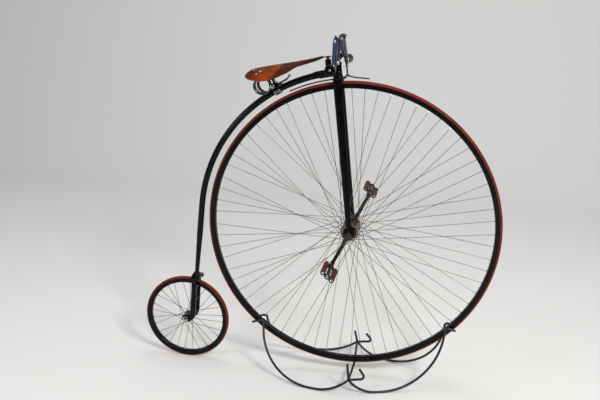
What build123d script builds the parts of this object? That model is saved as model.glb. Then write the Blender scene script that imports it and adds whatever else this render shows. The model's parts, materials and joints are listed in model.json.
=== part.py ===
from build123d import *
from math import acos, atan2, cos, degrees, radians, sin, sqrt, tan
import os

# Penny farthing bicycle, held upright by a floor stand of bent round bar.
# Millimetres. +X forward, +Z up, right-hand side of the rider at -Y. The origin is on the floor,
# under the middle of the overall length.

# Wheels
front_radius = 662.0
rear_radius = 208.0
front_tyre_dia = 24.0
rear_tyre_dia = 20.0
tyre_seat_gap = 0.3
front_rim_depth = 20.0
rear_rim_depth = 19.0
rim_wall = 1.0
rim_lip = 1.2
rim_corner = 5.0

# Front hub, axle and cranks
flange_y = 56.0
flange_width = 6.0
flange_radius = 38.0
flange_slope = 4.0
barrel_radius = 18.0
axle_radius = 9.0
axle_half = 113.0
fit_gap = 0.1
crank_throw = 150.0
crank_angle = 244.0
crank_y = 104.0
crank_thick = 14.0
crank_boss_radius = 15.0
crank_eye_radius = 11.0
crank_root_width = 20.0
crank_tip_width = 14.0

# Spokes
spoke_dia = 2.2
spoke_step = 1.6
rim_spread = 4.0
front_spokes_per_row = 17
rear_spokes_per_row = 7
spoke_seat = 3.0

# Rear hub and axle
rear_flange_y = 20.0
rear_flange_radius = 21.0
rear_flange_width = 6.0
rear_barrel_radius = 12.0
rear_axle_radius = 5.0
axle_stand_out = 18.0
nut_radius = 10.0
nut_thick = 8.0

# Pedals
pedal_inner_y = 150.0
pedal_length = 118.0
pedal_tilt = -40.0
pedal_plate_thick = 3.0
plate_eye_radius = 13.0
plate_lobe_radius = 11.0
plate_waist = 14.0
pedal_barrel_radius = 8.5
pedal_pin_radius = 5.0
pin_seat_radius = 6.0
pin_collar_radius = 9.0
pin_stand_out = 2.0
pedal_end_gap = 1.0
block_offset = 25.0
block_width = 20.0
block_height = 17.0
block_corner = 2.0
groove_pitch = 5.5
groove_width = 2.0
groove_depth = 1.6

# Front fork and steering head; heights along the steering axis are counted from the front hub
rake = 7.0
blade_top_y = 31.0
blade_foot_y = 77.0
blade_top_width = 40.0
blade_foot_width = 23.0
blade_top_thick = 18.0
blade_foot_thick = 14.0
crown_clearance = 5.0
crown_height = 11.5
crown_round = 4.0
bearing_radius = 21.0
bearing_width = 30.0
steerer_radius = 12.0
head_radius = 19.0
head_height = 62.0
head_gap = 0.6
lug_radius = 14.5
lug_height = 38.0
lug_round = 5.0
lug_boss_radius = 14.0
lug_boss_half = 15.0

# Handlebar and grips
bar_dia = 19.0
bar_rise = 24.0
bar_half = 325.0
bar_straight = 107.0
bar_hump_y = 118.0
bar_hump = 101.0
bar_middle_half = 38.0
bar_ahead = 12.0
bar_bends = (50.0, 44.0, 40.0)
grip_length = 76.0
grip_end_dia = 43.0
grip_end_round = 4.0
grip_end_flat = 14.0
grip_swell = 42.0
grip_neck_dia = 24.0
grip_cap = 3.0

# Brake
spoon_width = 22.0
spoon_thick = 4.0
spoon_clearance = 9.0
spoon_reach = 52.0
spoon_bend = 60.0
spoon_bend_behind = 8.0
spoon_pin_radius = 4.0
spoon_pin_rise = 4.0
spoon_eye_wall = 3.0
spoon_ahead = 41.0
ear_thick = 4.0
ear_gap = 1.0
ear_width = 9.0
lever_dia = 9.0
lever_ahead = 36.0
lever_rise = 6.0
lever_hump = 113.0
lever_inner_y = 12.0
lever_bend_y = 52.0
lever_tip_y = 236.0
lever_tip_run = 36.0
lever_low = 4.0
lever_tip_drop = 12.0
lever_bends = (26.0, 40.0, 30.0)
lever_eye_radius = 8.0
eye_thick = 6.0
link_dia = 7.0
link_length = 30.0
lever_arm_thick = 5.0
lever_arm_width = 9.0
lever_pin_radius = 3.0
lever_pin_eye = 6.5

# Tyre guard
guard_clearance = 7.5
guard_thick = 5.0
guard_width = 24.0
guard_turn = 17.0

# Backbone, neck and rear fork
backbone_dia = 28.0
backbone_tip_dia = 19.0
backbone_clearance = 24.0
backbone_start = 100.2
backbone_slope = 5.2
backbone_taper_from = 140.0
sleeve_wall = 3.0
sleeve_end = 104.5
sleeve_scarf = 35.0
boss_radius = 13.0
boss_behind = 37.0
boss_height = 58.0
boss_stud_radius = 5.0
boss_stud_height = 9.0
fork_trail = 50.0
rear_blade_y = 30.0
rear_blade_width = 25.0
rear_blade_thick = 10.0
rear_blade_bend = 30.0
rear_boss_radius = 15.0
rear_crown_gap = 8.0
rear_crown_length = 42.0
rear_crown_slab = 6.0
rear_crown_bell = 26.0
rear_crown_round = 9.0
rear_crown_ahead = 2.0
rear_foot_share = 0.72
rear_bend_share = 0.85
step_below_crown = 18.0
step_peg_radius = 6.0
step_flange_radius = 12.0
step_base_radius = 10.0
step_length = 42.0
step_flange_thick = 5.0

# Saddle, its strip, its ring springs and its clamp
leather_thick = 5.0
saddle_half = 98.0
tail_behind = 81.0
tail_above = 46.5
nose_behind = 44.0
nose_below = 8.0
strip_width = 16.0
strip_thick = 4.0
strip_front = 20.5
strip_knee = 52.0
strip_foot_back = 24.0
strip_foot_ahead = 30.0
strip_bends = (60.0, 60.0, 30.0)
nose_overlap = 4.0
nose_clearance = 3.1
ring_radius = 36.0
ring_dia = 7.5
ring_turns = 3
ring_pitch = 7.2
ring_y = 45.0
clamp_angle = 119.7
clamp_width = 26.0
clamp_wall = 6.0
clamp_block_half = 19.0
clamp_block_rise = 33.5
clamp_block_low = 6.0
clamp_block_width = 24.0
clamp_ear_radius = 9.0
clamp_pin_radius = 5.0
clamp_pin_behind = 14.3
clamp_pin_above = 19.5
horn_dia = 8.0
horn_bend = 22.0
plate_thick = 4.0
plate_half = 58.0
plate_front = 12.0
plate_arc_from = 34.0
plate_back = 77.0

# Stand of bent round bar
stand_rod_dia = 11.0
stand_bar_ahead = 38.0
stand_bar_bow = 6.0
stand_bar_low = 52.2
stand_bar_bend = 200.0
stand_bar_gap = 1.3
stand_joint_y = 192.0
stand_joint_step = 2.0
stand_joint_z = 68.0
stand_seat_gap = 0.3
cradle_y = 28.0
cradle_bend = 15.0
arc_share = 0.93
prong_bend = 12.0
hook_bend = 14.0
joint_bend = 30.0

# Places
crown_low = front_radius + crown_clearance
crown_high = crown_low + crown_height
head_low = crown_high + head_gap
head_high = head_low + head_height
lug_low = head_high + head_gap
bar_height = lug_low + bar_rise
steerer_end = bar_height - bar_dia / 2 - 1
backbone_orbit = front_radius + backbone_clearance + backbone_dia / 2
boss_top = backbone_orbit + boss_height
stud_top = boss_top + boss_stud_height
bar_seat = front_radius + stand_seat_gap + stand_rod_dia / 2
hub_z = stand_bar_low + sqrt(bar_seat ** 2 - (stand_bar_ahead + stand_bar_bow) ** 2)
rear_z = rear_radius
rear_crown_low = rear_z + sqrt(rear_radius ** 2 - fork_trail ** 2) + rear_crown_gap
slope = radians(backbone_slope)
backbone_drop = hub_z + backbone_orbit * sin(slope) - rear_crown_low - rear_crown_bell
backbone_straight = backbone_drop / cos(slope)
backbone_reach = backbone_orbit * cos(slope) + backbone_straight * sin(slope)
wheelbase = backbone_reach + rear_crown_ahead + fork_trail
hub_x = (wheelbase + rear_radius - front_radius) / 2
rear_x = hub_x - wheelbase
crown_x = rear_x + fork_trail
lean = radians(rake)
lean_dir = (cos(lean), 0, sin(lean))
sides = (("right", -1), ("left", 1))


def save(part, name):
    """Label one finished piece and write its file."""
    part.label = name
    export_step(part, f"parts/{name}.step")


def steer_point(height, ahead=0.0, y=0.0):
    """Point at a height above the front hub along the steering axis, and ahead of that axis."""
    return (
        hub_x - height * sin(lean) + ahead * cos(lean),
        y,
        hub_z + height * cos(lean) + ahead * sin(lean),
    )


def steer_plane(height):
    """Plane square to the steering axis at that height, its x axis pointing forward."""
    return Plane(origin=steer_point(height), x_dir=lean_dir, z_dir=(-sin(lean), 0, cos(lean)))


def head_plane(y=0.0):
    """Upright plane along the bicycle whose y axis is the steering axis, from the front hub up."""
    return Plane(origin=(hub_x, y, hub_z), x_dir=lean_dir, z_dir=(0, -1, 0))


def side_plane(y=0.0):
    """Upright plane along the bicycle, its x axis forward and its y axis up."""
    return Plane(origin=(0, y, 0), x_dir=(1, 0, 0), z_dir=(0, -1, 0))


def across_plane(x, z, y=0.0, side=1):
    """Plane square to an axle at that x, y and z, facing the given side."""
    return Plane(origin=(x, y, z), x_dir=(1, 0, 0), z_dir=(0, side, 0))


def orbit(angle, distance, y=0.0):
    """Point at an angle (degrees from +X) and a distance from the front hub."""
    return (hub_x + distance * cos(radians(angle)), y, hub_z + distance * sin(radians(angle)))


def orbit_plane(angle, distance):
    """Plane across the path round the front wheel, for a section that turns with it."""
    return Plane(
        origin=orbit(angle, distance),
        x_dir=(0, 1, 0),
        z_dir=(sin(radians(angle)), 0, -cos(radians(angle))),
    )


def bent_rod(corners, bends, radius):
    """Round rod along straight runs that arcs join."""
    with BuildPart() as rod:
        with BuildLine() as path:
            FilletPolyline(*corners, radius=bends)
        with BuildSketch(Plane(origin=path.line @ 0, z_dir=path.line % 0)):
            Circle(radius)
        sweep()
    return rod.part


def straight_rod(start, end, radius):
    """Round rod from one point to another."""
    run = Vector(*end) - Vector(*start)
    with BuildPart() as rod:
        with BuildSketch(Plane(origin=start, z_dir=run)):
            Circle(radius)
        extrude(amount=run.length)
    return rod.part


def flat_bar(points, width, thick, bends):
    """Flat bar of a given width across the bicycle, bent along a path of x, z points."""
    with BuildPart() as bar:
        with BuildSketch(side_plane()):
            with BuildLine():
                FilletPolyline(*points, radius=bends)
            trace(line_width=thick)
        extrude(amount=width / 2, both=True)
    return bar.part


os.makedirs("parts", exist_ok=True)

# Wheels: a solid rubber tyre in a round seat, on a rim with straight sides and a flat inner face.
wheels = (
    # name, axle x, axle z, radius, tyre diameter, depth of the rim under the tyre's middle
    ("front", hub_x, hub_z, front_radius, front_tyre_dia, front_rim_depth),
    ("rear", rear_x, rear_z, rear_radius, rear_tyre_dia, rear_rim_depth),
)
for name, x, z, radius, tyre_dia, depth in wheels:
    seat = radius - tyre_dia / 2
    channel = tyre_dia / 2 + tyre_seat_gap
    axle_line = Axis((x, 0, z), (0, 1, 0))
    section_plane = Plane(origin=(x, 0, z), x_dir=(0, 0, 1), z_dir=(1, 0, 0))

    with BuildPart() as tyre:
        with BuildSketch(section_plane):
            with Locations((seat, 0)):
                Circle(tyre_dia / 2)
        revolve(axis=axle_line)
    save(tyre.part, f"{name}_tyre")

    with BuildPart() as rim:
        with BuildSketch(section_plane) as section:
            with Locations((seat - depth, 0)):
                Rectangle(depth + rim_lip, 2 * (channel + rim_wall), align=(Align.MIN, Align.CENTER))
            fillet(section.vertices().group_by(Axis.X)[0], rim_corner)
            with Locations((seat, 0)):
                Circle(channel, mode=Mode.SUBTRACT)
        revolve(axis=axle_line)
    save(rim.part, f"{name}_rim")

hubs = (
    # name, axle x, axle z, flange y, flange radius, flange width, barrel radius, bore radius
    ("front", hub_x, hub_z, flange_y, flange_radius, flange_width, barrel_radius, axle_radius),
    ("rear", rear_x, rear_z, rear_flange_y, rear_flange_radius, rear_flange_width,
     rear_barrel_radius, rear_axle_radius),
)
for name, x, z, at_y, flange_r, width, barrel_r, bore_r in hubs:
    end = at_y + width / 2
    root = end - width - flange_slope
    with BuildPart() as hub:
        with BuildSketch(Plane(origin=(x, 0, z), x_dir=(0, 1, 0), z_dir=(-1, 0, 0))):
            with BuildLine():
                Polyline(
                    (-end, bore_r + fit_gap), (-end, flange_r), (width - end, flange_r),
                    (-root, barrel_r), (root, barrel_r), (end - width, flange_r),
                    (end, flange_r), (end, bore_r + fit_gap), close=True,
                )
            make_face()
        revolve(axis=Axis((x, 0, z), (0, 1, 0)))
    save(hub.part, f"{name}_hub")

# Spokes laced tangent to the hub: on each flange half lean one way and half the other.
lacing = (
    # name, axle x, axle z, rim seat radius, flange y, tangent radius, spokes per row
    ("front", hub_x, hub_z, front_radius - front_tyre_dia / 2 - front_rim_depth + spoke_seat,
     flange_y, flange_radius - spoke_seat, front_spokes_per_row),
    ("rear", rear_x, rear_z, rear_radius - rear_tyre_dia / 2 - rear_rim_depth + spoke_seat,
     rear_flange_y, rear_flange_radius - spoke_seat, rear_spokes_per_row),
)
for name, x, z, rim_r, at_y, hub_r, per_row in lacing:
    reach = degrees(acos(hub_r / rim_r))
    pitch = 360 / per_row
    rods = []
    for side_name, side in sides:
        for turn in (1, -1):
            start_at = pitch * (side + 1) / 8 + (0 if turn > 0 else pitch / 2 + 2 * reach)
            for number in range(per_row):
                at_hub = radians(start_at + number * pitch)
                at_rim = at_hub + turn * radians(reach)
                step = turn * spoke_step
                rods.append(straight_rod(
                    (x + hub_r * cos(at_hub), side * at_y + step, z + hub_r * sin(at_hub)),
                    (x + rim_r * cos(at_rim), side * rim_spread + step, z + rim_r * sin(at_rim)),
                    spoke_dia / 2,
                ))
    with BuildPart() as spokes:
        add(rods)
    save(spokes.part, f"{name}_spokes")

# Front axle with the cranks keyed on its ends.
with BuildPart() as front_axle:
    with BuildSketch(across_plane(hub_x, hub_z)):
        Circle(axle_radius)
    extrude(amount=axle_half, both=True)
save(front_axle.part, "front_axle")

crank_ends = {}
for side_name, side in sides:
    angle = radians(crank_angle + (0 if side < 0 else 180))
    crank_ends[side] = (hub_x + crank_throw * cos(angle), hub_z + crank_throw * sin(angle))
    along_crank = Plane(
        origin=(hub_x, side * crank_y, hub_z), x_dir=(cos(angle), 0, sin(angle)), z_dir=(0, -1, 0),
    )
    with BuildPart() as crank:
        with BuildSketch(along_crank):
            with BuildLine():
                Polyline(
                    (0, -crank_root_width / 2), (crank_throw, -crank_tip_width / 2),
                    (crank_throw, crank_tip_width / 2), (0, crank_root_width / 2), close=True,
                )
            make_face()
            Circle(crank_boss_radius)
            with Locations((crank_throw, 0)):
                Circle(crank_eye_radius)
            Circle(axle_radius + fit_gap, mode=Mode.SUBTRACT)
            with Locations((crank_throw, 0)):
                Circle(pin_seat_radius + fit_gap, mode=Mode.SUBTRACT)
        extrude(amount=crank_thick / 2, both=True)
    save(crank.part, f"crank_{side_name}")

# Pedals: a pin fixed in the crank, a barrel turning on it, two lobed plates and two rubber blocks.
for side_name, side in sides:
    foot_x, foot_z = crank_ends[side]
    pin_stages = (
        # y from, y to, radius
        (crank_y - crank_thick / 2, crank_y + crank_thick / 2, pin_seat_radius),
        (crank_y + crank_thick / 2, pedal_inner_y - pedal_end_gap, pin_collar_radius),
        (pedal_inner_y - pedal_end_gap, pedal_inner_y + pedal_length + pin_stand_out, pedal_pin_radius),
    )
    with BuildPart() as pin:
        for start_y, end_y, radius in pin_stages:
            with BuildSketch(across_plane(foot_x, foot_z, side * start_y, side)):
                Circle(radius)
            extrude(amount=end_y - start_y)
    save(pin.part, f"pedal_pin_{side_name}")

    pedal_plane = Plane(
        origin=(foot_x, side * pedal_inner_y, foot_z),
        x_dir=(cos(radians(pedal_tilt)), 0, sin(radians(pedal_tilt))),
        z_dir=(0, side, 0),
    )
    with BuildPart() as pedal:
        for at in (0, pedal_length - pedal_plate_thick):
            with BuildSketch(pedal_plane.offset(at)):
                Rectangle(2 * block_offset, plate_waist)
                Circle(plate_eye_radius)
                with Locations((-block_offset, 0), (block_offset, 0)):
                    Circle(plate_lobe_radius)
                Circle(pedal_pin_radius + fit_gap, mode=Mode.SUBTRACT)
            extrude(amount=pedal_plate_thick)
        with BuildSketch(pedal_plane.offset(pedal_plate_thick)):
            Circle(pedal_barrel_radius)
            Circle(pedal_pin_radius + fit_gap, mode=Mode.SUBTRACT)
        extrude(amount=pedal_length - 2 * pedal_plate_thick)
    save(pedal.part, f"pedal_frame_{side_name}")

    with BuildPart() as rubbers:
        with BuildSketch(pedal_plane.offset(pedal_plate_thick)):
            with Locations((-block_offset, 0), (block_offset, 0)):
                RectangleRounded(block_width, block_height, block_corner)
            for face in (-1, 1):
                for middle in (-block_offset, block_offset):
                    with Locations((middle, face * block_height / 2)):
                        with GridLocations(groove_pitch, 0, 3, 1):
                            Rectangle(groove_width, 2 * groove_depth, mode=Mode.SUBTRACT)
        extrude(amount=pedal_length - 2 * pedal_plate_thick)
    save(rubbers.part, f"pedal_rubbers_{side_name}")

# Front fork: two tapered oval blades from the crown to the axle bearings.
for side_name, side in sides:
    top = steer_point(crown_high, y=side * blade_top_y)
    foot = (hub_x, side * blade_foot_y, hub_z)
    run = Vector(*top) - Vector(*foot)
    bearing_plane = across_plane(hub_x, hub_z, side * blade_foot_y)
    with BuildPart() as blade:
        with BuildSketch(Plane(origin=top, x_dir=lean_dir, z_dir=run)):
            Ellipse(blade_top_width / 2, blade_top_thick / 2)
        with BuildSketch(Plane(origin=foot, x_dir=lean_dir, z_dir=run)):
            Ellipse(blade_foot_width / 2, blade_foot_thick / 2)
        loft()
        with BuildSketch(bearing_plane):
            Circle(bearing_radius)
        extrude(amount=bearing_width / 2, both=True)
        with BuildSketch(bearing_plane):
            Circle(axle_radius + fit_gap)
        extrude(amount=bearing_width, both=True, mode=Mode.SUBTRACT)
        split(bisect_by=steer_plane(crown_low), keep=Keep.BOTTOM)
    save(blade.part, f"fork_blade_{side_name}")

with BuildPart() as crown:
    with BuildSketch(steer_plane(crown_low)):
        SlotOverall(2 * blade_top_y + blade_top_width, blade_top_width, rotation=90)
    extrude(amount=crown_height)
    fillet(crown.faces().sort_by(Axis.Z)[-1].edges(), crown_round)
    with BuildSketch(steer_plane(crown_high)):
        Circle(steerer_radius)
    extrude(amount=steerer_end - crown_high)
save(crown.part, "fork_crown")

# Handlebar lug on the steerer, and the bent bar through it.
bar_middle = steer_point(bar_height, ahead=bar_ahead)
with BuildPart() as lug:
    with BuildSketch(steer_plane(lug_low)):
        Circle(lug_radius)
    extrude(amount=lug_height)
    fillet(lug.faces().sort_by(Axis.Z)[-1].edges(), lug_round)
    with BuildSketch(across_plane(bar_middle[0], bar_middle[2])):
        Circle(lug_boss_radius)
    extrude(amount=lug_boss_half, both=True)
    with BuildSketch(across_plane(bar_middle[0], bar_middle[2])):
        Circle(bar_dia / 2 + fit_gap)
    extrude(amount=2 * lug_boss_half, both=True, mode=Mode.SUBTRACT)
    with BuildSketch(steer_plane(lug_low)):
        Circle(steerer_radius + fit_gap)
    extrude(amount=steerer_end - lug_low, mode=Mode.SUBTRACT)
save(lug.part, "handlebar_lug")

# Eye for the brake lever, a plate beside the lug that reaches ahead of the bar.
bar_at = (bar_ahead, bar_height)
eye_at = (lever_ahead, bar_height + lever_rise)
with BuildPart() as eye:
    with BuildSketch(head_plane(-lug_boss_half - fit_gap - eye_thick / 2)):
        with Locations(bar_at):
            Circle(lug_boss_radius)
        with BuildLine():
            Line(bar_at, eye_at)
        trace(line_width=2 * lever_eye_radius)
        with Locations(eye_at):
            Circle(lever_eye_radius)
            Circle(lever_dia / 2 + fit_gap, mode=Mode.SUBTRACT)
        with Locations(bar_at):
            Circle(bar_dia / 2 + fit_gap, mode=Mode.SUBTRACT)
    extrude(amount=eye_thick / 2, both=True)
save(eye.part, "lever_bracket")

bar_corners = (
    # y, rise above the middle of the bar, distance ahead of the steering axis
    (bar_half, -31, 14), (bar_half - bar_straight, -44, 14), (bar_hump_y, bar_hump, 20),
    (bar_middle_half, 0, bar_ahead),
)
corners = [steer_point(bar_height + rise, ahead, y) for y, rise, ahead in bar_corners]
corners += [steer_point(bar_height + rise, ahead, -y) for y, rise, ahead in reversed(bar_corners)]
handlebar = bent_rod(corners, list(bar_bends) + list(reversed(bar_bends)), bar_dia / 2)
save(handlebar, "handlebar")

(end_y, end_rise, end_ahead), (bend_y, bend_rise, bend_ahead) = bar_corners[:2]
for side_name, side in sides:
    end = Vector(*steer_point(bar_height + end_rise, end_ahead, side * end_y))
    bend = Vector(*steer_point(bar_height + bend_rise, bend_ahead, side * bend_y))
    inward = (bend - end).normalized()
    grip_plane = Plane(origin=end - inward * grip_cap, x_dir=inward, z_dir=lean_dir)
    with BuildPart() as grip:
        with BuildSketch(grip_plane):
            with BuildLine():
                Polyline(
                    (0, 0), (0, grip_end_dia / 2 - grip_end_round), (grip_end_round, grip_end_dia / 2),
                    (grip_end_flat, grip_end_dia / 2), (grip_swell, grip_neck_dia / 2 + leather_thick / 2),
                    (grip_length, grip_neck_dia / 2), (grip_length, 0), close=True,
                )
            make_face()
        revolve(axis=Axis(grip_plane.origin, inward))
        with BuildSketch(Plane(origin=end - inward * fit_gap, z_dir=inward)):
            Circle(bar_dia / 2 + fit_gap)
        extrude(amount=grip_length, mode=Mode.SUBTRACT)
    save(grip.part, f"grip_{side_name}")

# Brake: a spoon over the tyre, hinged on the crown, pulled by a link from a lever along the bar.
spoon_pin = steer_point(crown_high + spoon_pin_rise, ahead=spoon_ahead)
spoon_top = hub_z + front_radius + spoon_clearance + spoon_thick / 2
spoon_eye_radius = spoon_pin_radius + spoon_eye_wall
with BuildPart() as spoon:
    with BuildSketch(side_plane()):
        with BuildLine():
            FilletPolyline(
                (spoon_pin[0], spoon_pin[2]),
                (hub_x - spoon_bend_behind, spoon_top + spoon_eye_wall),
                (hub_x + spoon_reach, spoon_top),
                radius=spoon_bend,
            )
        trace(line_width=spoon_thick)
    extrude(amount=spoon_width / 2, both=True)
    with BuildSketch(across_plane(spoon_pin[0], spoon_pin[2])):
        Circle(spoon_eye_radius)
    extrude(amount=spoon_width / 2, both=True)
    with BuildSketch(across_plane(spoon_pin[0], spoon_pin[2])):
        Circle(spoon_pin_radius + fit_gap)
    extrude(amount=spoon_width, both=True, mode=Mode.SUBTRACT)
save(spoon.part, "brake_spoon")

# Bracket on the front of the crown: a foot plate, two ears and the pin between them.
ear_y = spoon_width / 2 + ear_gap + ear_thick / 2
foot_back = blade_top_width / 2 + fit_gap
foot_middle = crown_low + crown_height / 2
pin_at = (spoon_ahead, crown_high + spoon_pin_rise)
with BuildPart() as bracket:
    with BuildSketch(head_plane()):
        with Locations((foot_back, foot_middle)):
            Rectangle(ear_thick, crown_height, align=(Align.MIN, Align.CENTER))
    extrude(amount=ear_y + ear_thick / 2, both=True)
    for ear in (-1, 1):
        with BuildSketch(head_plane(ear * ear_y)):
            with BuildLine():
                Line(pin_at, (foot_back + ear_thick, foot_middle))
            trace(line_width=ear_width)
            with Locations(pin_at):
                Circle(spoon_eye_radius)
        extrude(amount=ear_thick / 2, both=True)
    with BuildSketch(head_plane()):
        with Locations(pin_at):
            Circle(spoon_pin_radius)
    extrude(amount=ear_y, both=True)
save(bracket.part, "brake_bracket")

lever_corners = (
    # y, rise above the middle of the bar
    (lever_inner_y, lever_rise), (-lever_bend_y, lever_rise), (-bar_hump_y, lever_hump),
    (lever_tip_run - lever_tip_y, lever_low), (-lever_tip_y, -lever_tip_drop),
)
lever_rod = bent_rod(
    [steer_point(bar_height + rise, lever_ahead, y) for y, rise in lever_corners],
    list(lever_bends), lever_dia / 2,
)
link_low = crown_high + spoon_pin_rise + spoon_eye_radius + fit_gap
arm_pin = (spoon_ahead, link_low + link_length)
arm_y = link_dia / 2 + fit_gap + lever_arm_thick / 2
with BuildPart() as lever:
    add(lever_rod)
    with BuildSketch(head_plane(arm_y)):
        with BuildLine():
            Line((lever_ahead, bar_height + lever_rise), arm_pin)
        trace(line_width=lever_arm_width)
        with Locations(arm_pin):
            Circle(lever_pin_eye)
    extrude(amount=lever_arm_thick / 2, both=True)
    with BuildSketch(head_plane(arm_y)):
        with Locations(arm_pin):
            Circle(lever_pin_radius)
    extrude(amount=arm_y + lever_arm_thick)
save(lever.part, "brake_lever")

# Link between the lever's arm and the spoon's pin, with an eye at its top.
with BuildPart() as link:
    with BuildSketch(steer_plane(link_low)):
        with Locations((spoon_ahead, 0)):
            Circle(link_dia / 2)
    extrude(amount=link_length - lever_pin_radius - lever_pin_eye / 4)
    with BuildSketch(head_plane()):
        with Locations(arm_pin):
            Circle(lever_pin_eye)
    extrude(amount=link_dia / 2, both=True)
    with BuildSketch(head_plane()):
        with Locations(arm_pin):
            Circle(lever_pin_radius + fit_gap)
    extrude(amount=link_dia, both=True, mode=Mode.SUBTRACT)
save(link.part, "brake_link")

# Tyre guard: a thin strip behind the crown, bent round the tyre.
guard_radius = front_radius + guard_clearance + guard_thick / 2
guard_start = 90 + rake + degrees((blade_top_width / 2 + fit_gap) / guard_radius)
wheel_axis = Axis((hub_x, 0, hub_z), (0, -1, 0))
with BuildPart() as guard:
    with BuildSketch(orbit_plane(guard_start, guard_radius)):
        Rectangle(guard_width, guard_thick)
    revolve(axis=wheel_axis, revolution_arc=guard_turn)
save(guard.part, "tyre_guard")

# Backbone: a tube bent round the big wheel, then straight and tapering to the rear fork.
straight_from = Vector(*orbit(180 - backbone_slope, backbone_orbit))
straight_dir = Vector(-sin(slope), 0, -cos(slope))
with BuildPart() as backbone:
    with BuildSketch(orbit_plane(backbone_start, backbone_orbit)):
        Circle(backbone_dia / 2)
    revolve(axis=wheel_axis, revolution_arc=180 - backbone_slope - backbone_start)
    with BuildSketch(Plane(origin=straight_from, x_dir=straight_dir, z_dir=(0, 1, 0))):
        with BuildLine():
            Polyline(
                (0, 0), (0, backbone_dia / 2), (backbone_taper_from, backbone_dia / 2),
                (backbone_straight, backbone_tip_dia / 2), (backbone_straight, 0), close=True,
            )
        make_face()
    revolve(axis=Axis(straight_from, straight_dir))
save(backbone.part, "backbone")

# Neck: the head tube on the steerer, the sleeve that takes the backbone, and the saddle boss.
sleeve_from = 90 + rake
bore_from = backbone_start - degrees(fit_gap / backbone_orbit)
scarf_turn = degrees((backbone_dia / 2 + sleeve_wall) * tan(radians(sleeve_scarf)) / backbone_orbit)
scarf_lean = radians(sleeve_end + sleeve_scarf)
with BuildPart() as neck:
    with BuildSketch(orbit_plane(sleeve_from, backbone_orbit)):
        Circle(backbone_dia / 2 + sleeve_wall)
    revolve(axis=wheel_axis, revolution_arc=sleeve_end + 2 * scarf_turn - sleeve_from)
    split(
        bisect_by=Plane(
            origin=orbit(sleeve_end, backbone_orbit), x_dir=(0, 1, 0),
            z_dir=(sin(scarf_lean), 0, -cos(scarf_lean)),
        ),
        keep=Keep.TOP,
    )
    with BuildSketch(steer_plane(head_low)):
        Circle(head_radius)
    extrude(amount=head_height)
    with BuildSketch(steer_plane(backbone_orbit)):
        with Locations((-boss_behind, 0)):
            Circle(boss_radius)
    extrude(amount=boss_height)
    with BuildSketch(steer_plane(boss_top)):
        with Locations((-boss_behind, 0)):
            Circle(boss_stud_radius)
    extrude(amount=boss_stud_height)
    with BuildSketch(orbit_plane(bore_from, backbone_orbit)):
        Circle(backbone_dia / 2 + fit_gap)
    revolve(
        axis=wheel_axis, revolution_arc=sleeve_end + 3 * scarf_turn - bore_from, mode=Mode.SUBTRACT,
    )
    with BuildSketch(steer_plane(head_low - head_gap)):
        Circle(steerer_radius + fit_gap)
    extrude(amount=head_height + 2 * head_gap, mode=Mode.SUBTRACT)
save(neck.part, "neck")

# Rear fork: a bell-shaped crown under the backbone's tip and two blades with swept-back feet.
tip = straight_from + straight_dir * backbone_straight
rear_crown_width = 2 * rear_blade_y + rear_blade_thick
bell_sections = (
    # height above the crown's underside, share of its length, share of its width, corner radius
    ((rear_crown_slab + rear_crown_bell) / 2, 0.84, 0.72, 14),
    (rear_crown_slab, 1.0, 1.0, rear_crown_round),
)
foot_corner = fork_trail * rear_foot_share
with BuildPart() as rear_fork:
    with BuildSketch(Plane(origin=tip + straight_dir * fit_gap, z_dir=-straight_dir)):
        Circle(backbone_tip_dia / 2 + 1)
    for height, long_share, wide_share, corner in bell_sections:
        with BuildSketch(Plane(origin=(crown_x, 0, rear_crown_low + height))):
            RectangleRounded(long_share * rear_crown_length, wide_share * rear_crown_width, corner)
    loft()
    with BuildSketch(Plane(origin=(crown_x, 0, rear_crown_low))):
        RectangleRounded(rear_crown_length, rear_crown_width, rear_crown_round)
    extrude(amount=rear_crown_slab)
    for side_name, side in sides:
        with BuildSketch(side_plane(side * rear_blade_y)):
            with BuildLine():
                FilletPolyline(
                    (crown_x, rear_crown_low + rear_crown_slab),
                    (rear_x + foot_corner, rear_z),
                    (rear_x, rear_z),
                    radius=min(rear_blade_bend, foot_corner * rear_bend_share),
                )
            trace(line_width=rear_blade_width)
            with Locations((rear_x, rear_z)):
                Circle(rear_boss_radius)
                Circle(rear_axle_radius + fit_gap, mode=Mode.SUBTRACT)
        extrude(amount=rear_blade_thick / 2, both=True)
save(rear_fork.part, "rear_fork")

blade_outside = rear_blade_y + rear_blade_thick / 2
with BuildPart() as rear_axle:
    with BuildSketch(across_plane(rear_x, rear_z)):
        Circle(rear_axle_radius)
    extrude(amount=blade_outside + axle_stand_out, both=True)
    for side_name, side in sides:
        with BuildSketch(across_plane(rear_x, rear_z, side * (blade_outside + fit_gap), side)):
            RegularPolygon(nut_radius, 6)
        extrude(amount=nut_thick)
save(rear_axle.part, "rear_axle")

# Mounting step: a peg with an end flange, bolted on the left blade below the crown.
step_stages = (
    # y from the blade's face, length, radius
    (fit_gap, ear_thick, step_base_radius),
    (ear_thick, step_length - ear_thick, step_peg_radius),
    (step_length - step_flange_thick, step_flange_thick, step_flange_radius),
)
step_z = rear_crown_low - step_below_crown
with BuildPart() as step_peg:
    for from_blade, length, radius in step_stages:
        with BuildSketch(across_plane(crown_x, step_z, blade_outside + from_blade)):
            Circle(radius)
        extrude(amount=length)
save(step_peg.part, "mounting_step")

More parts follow.
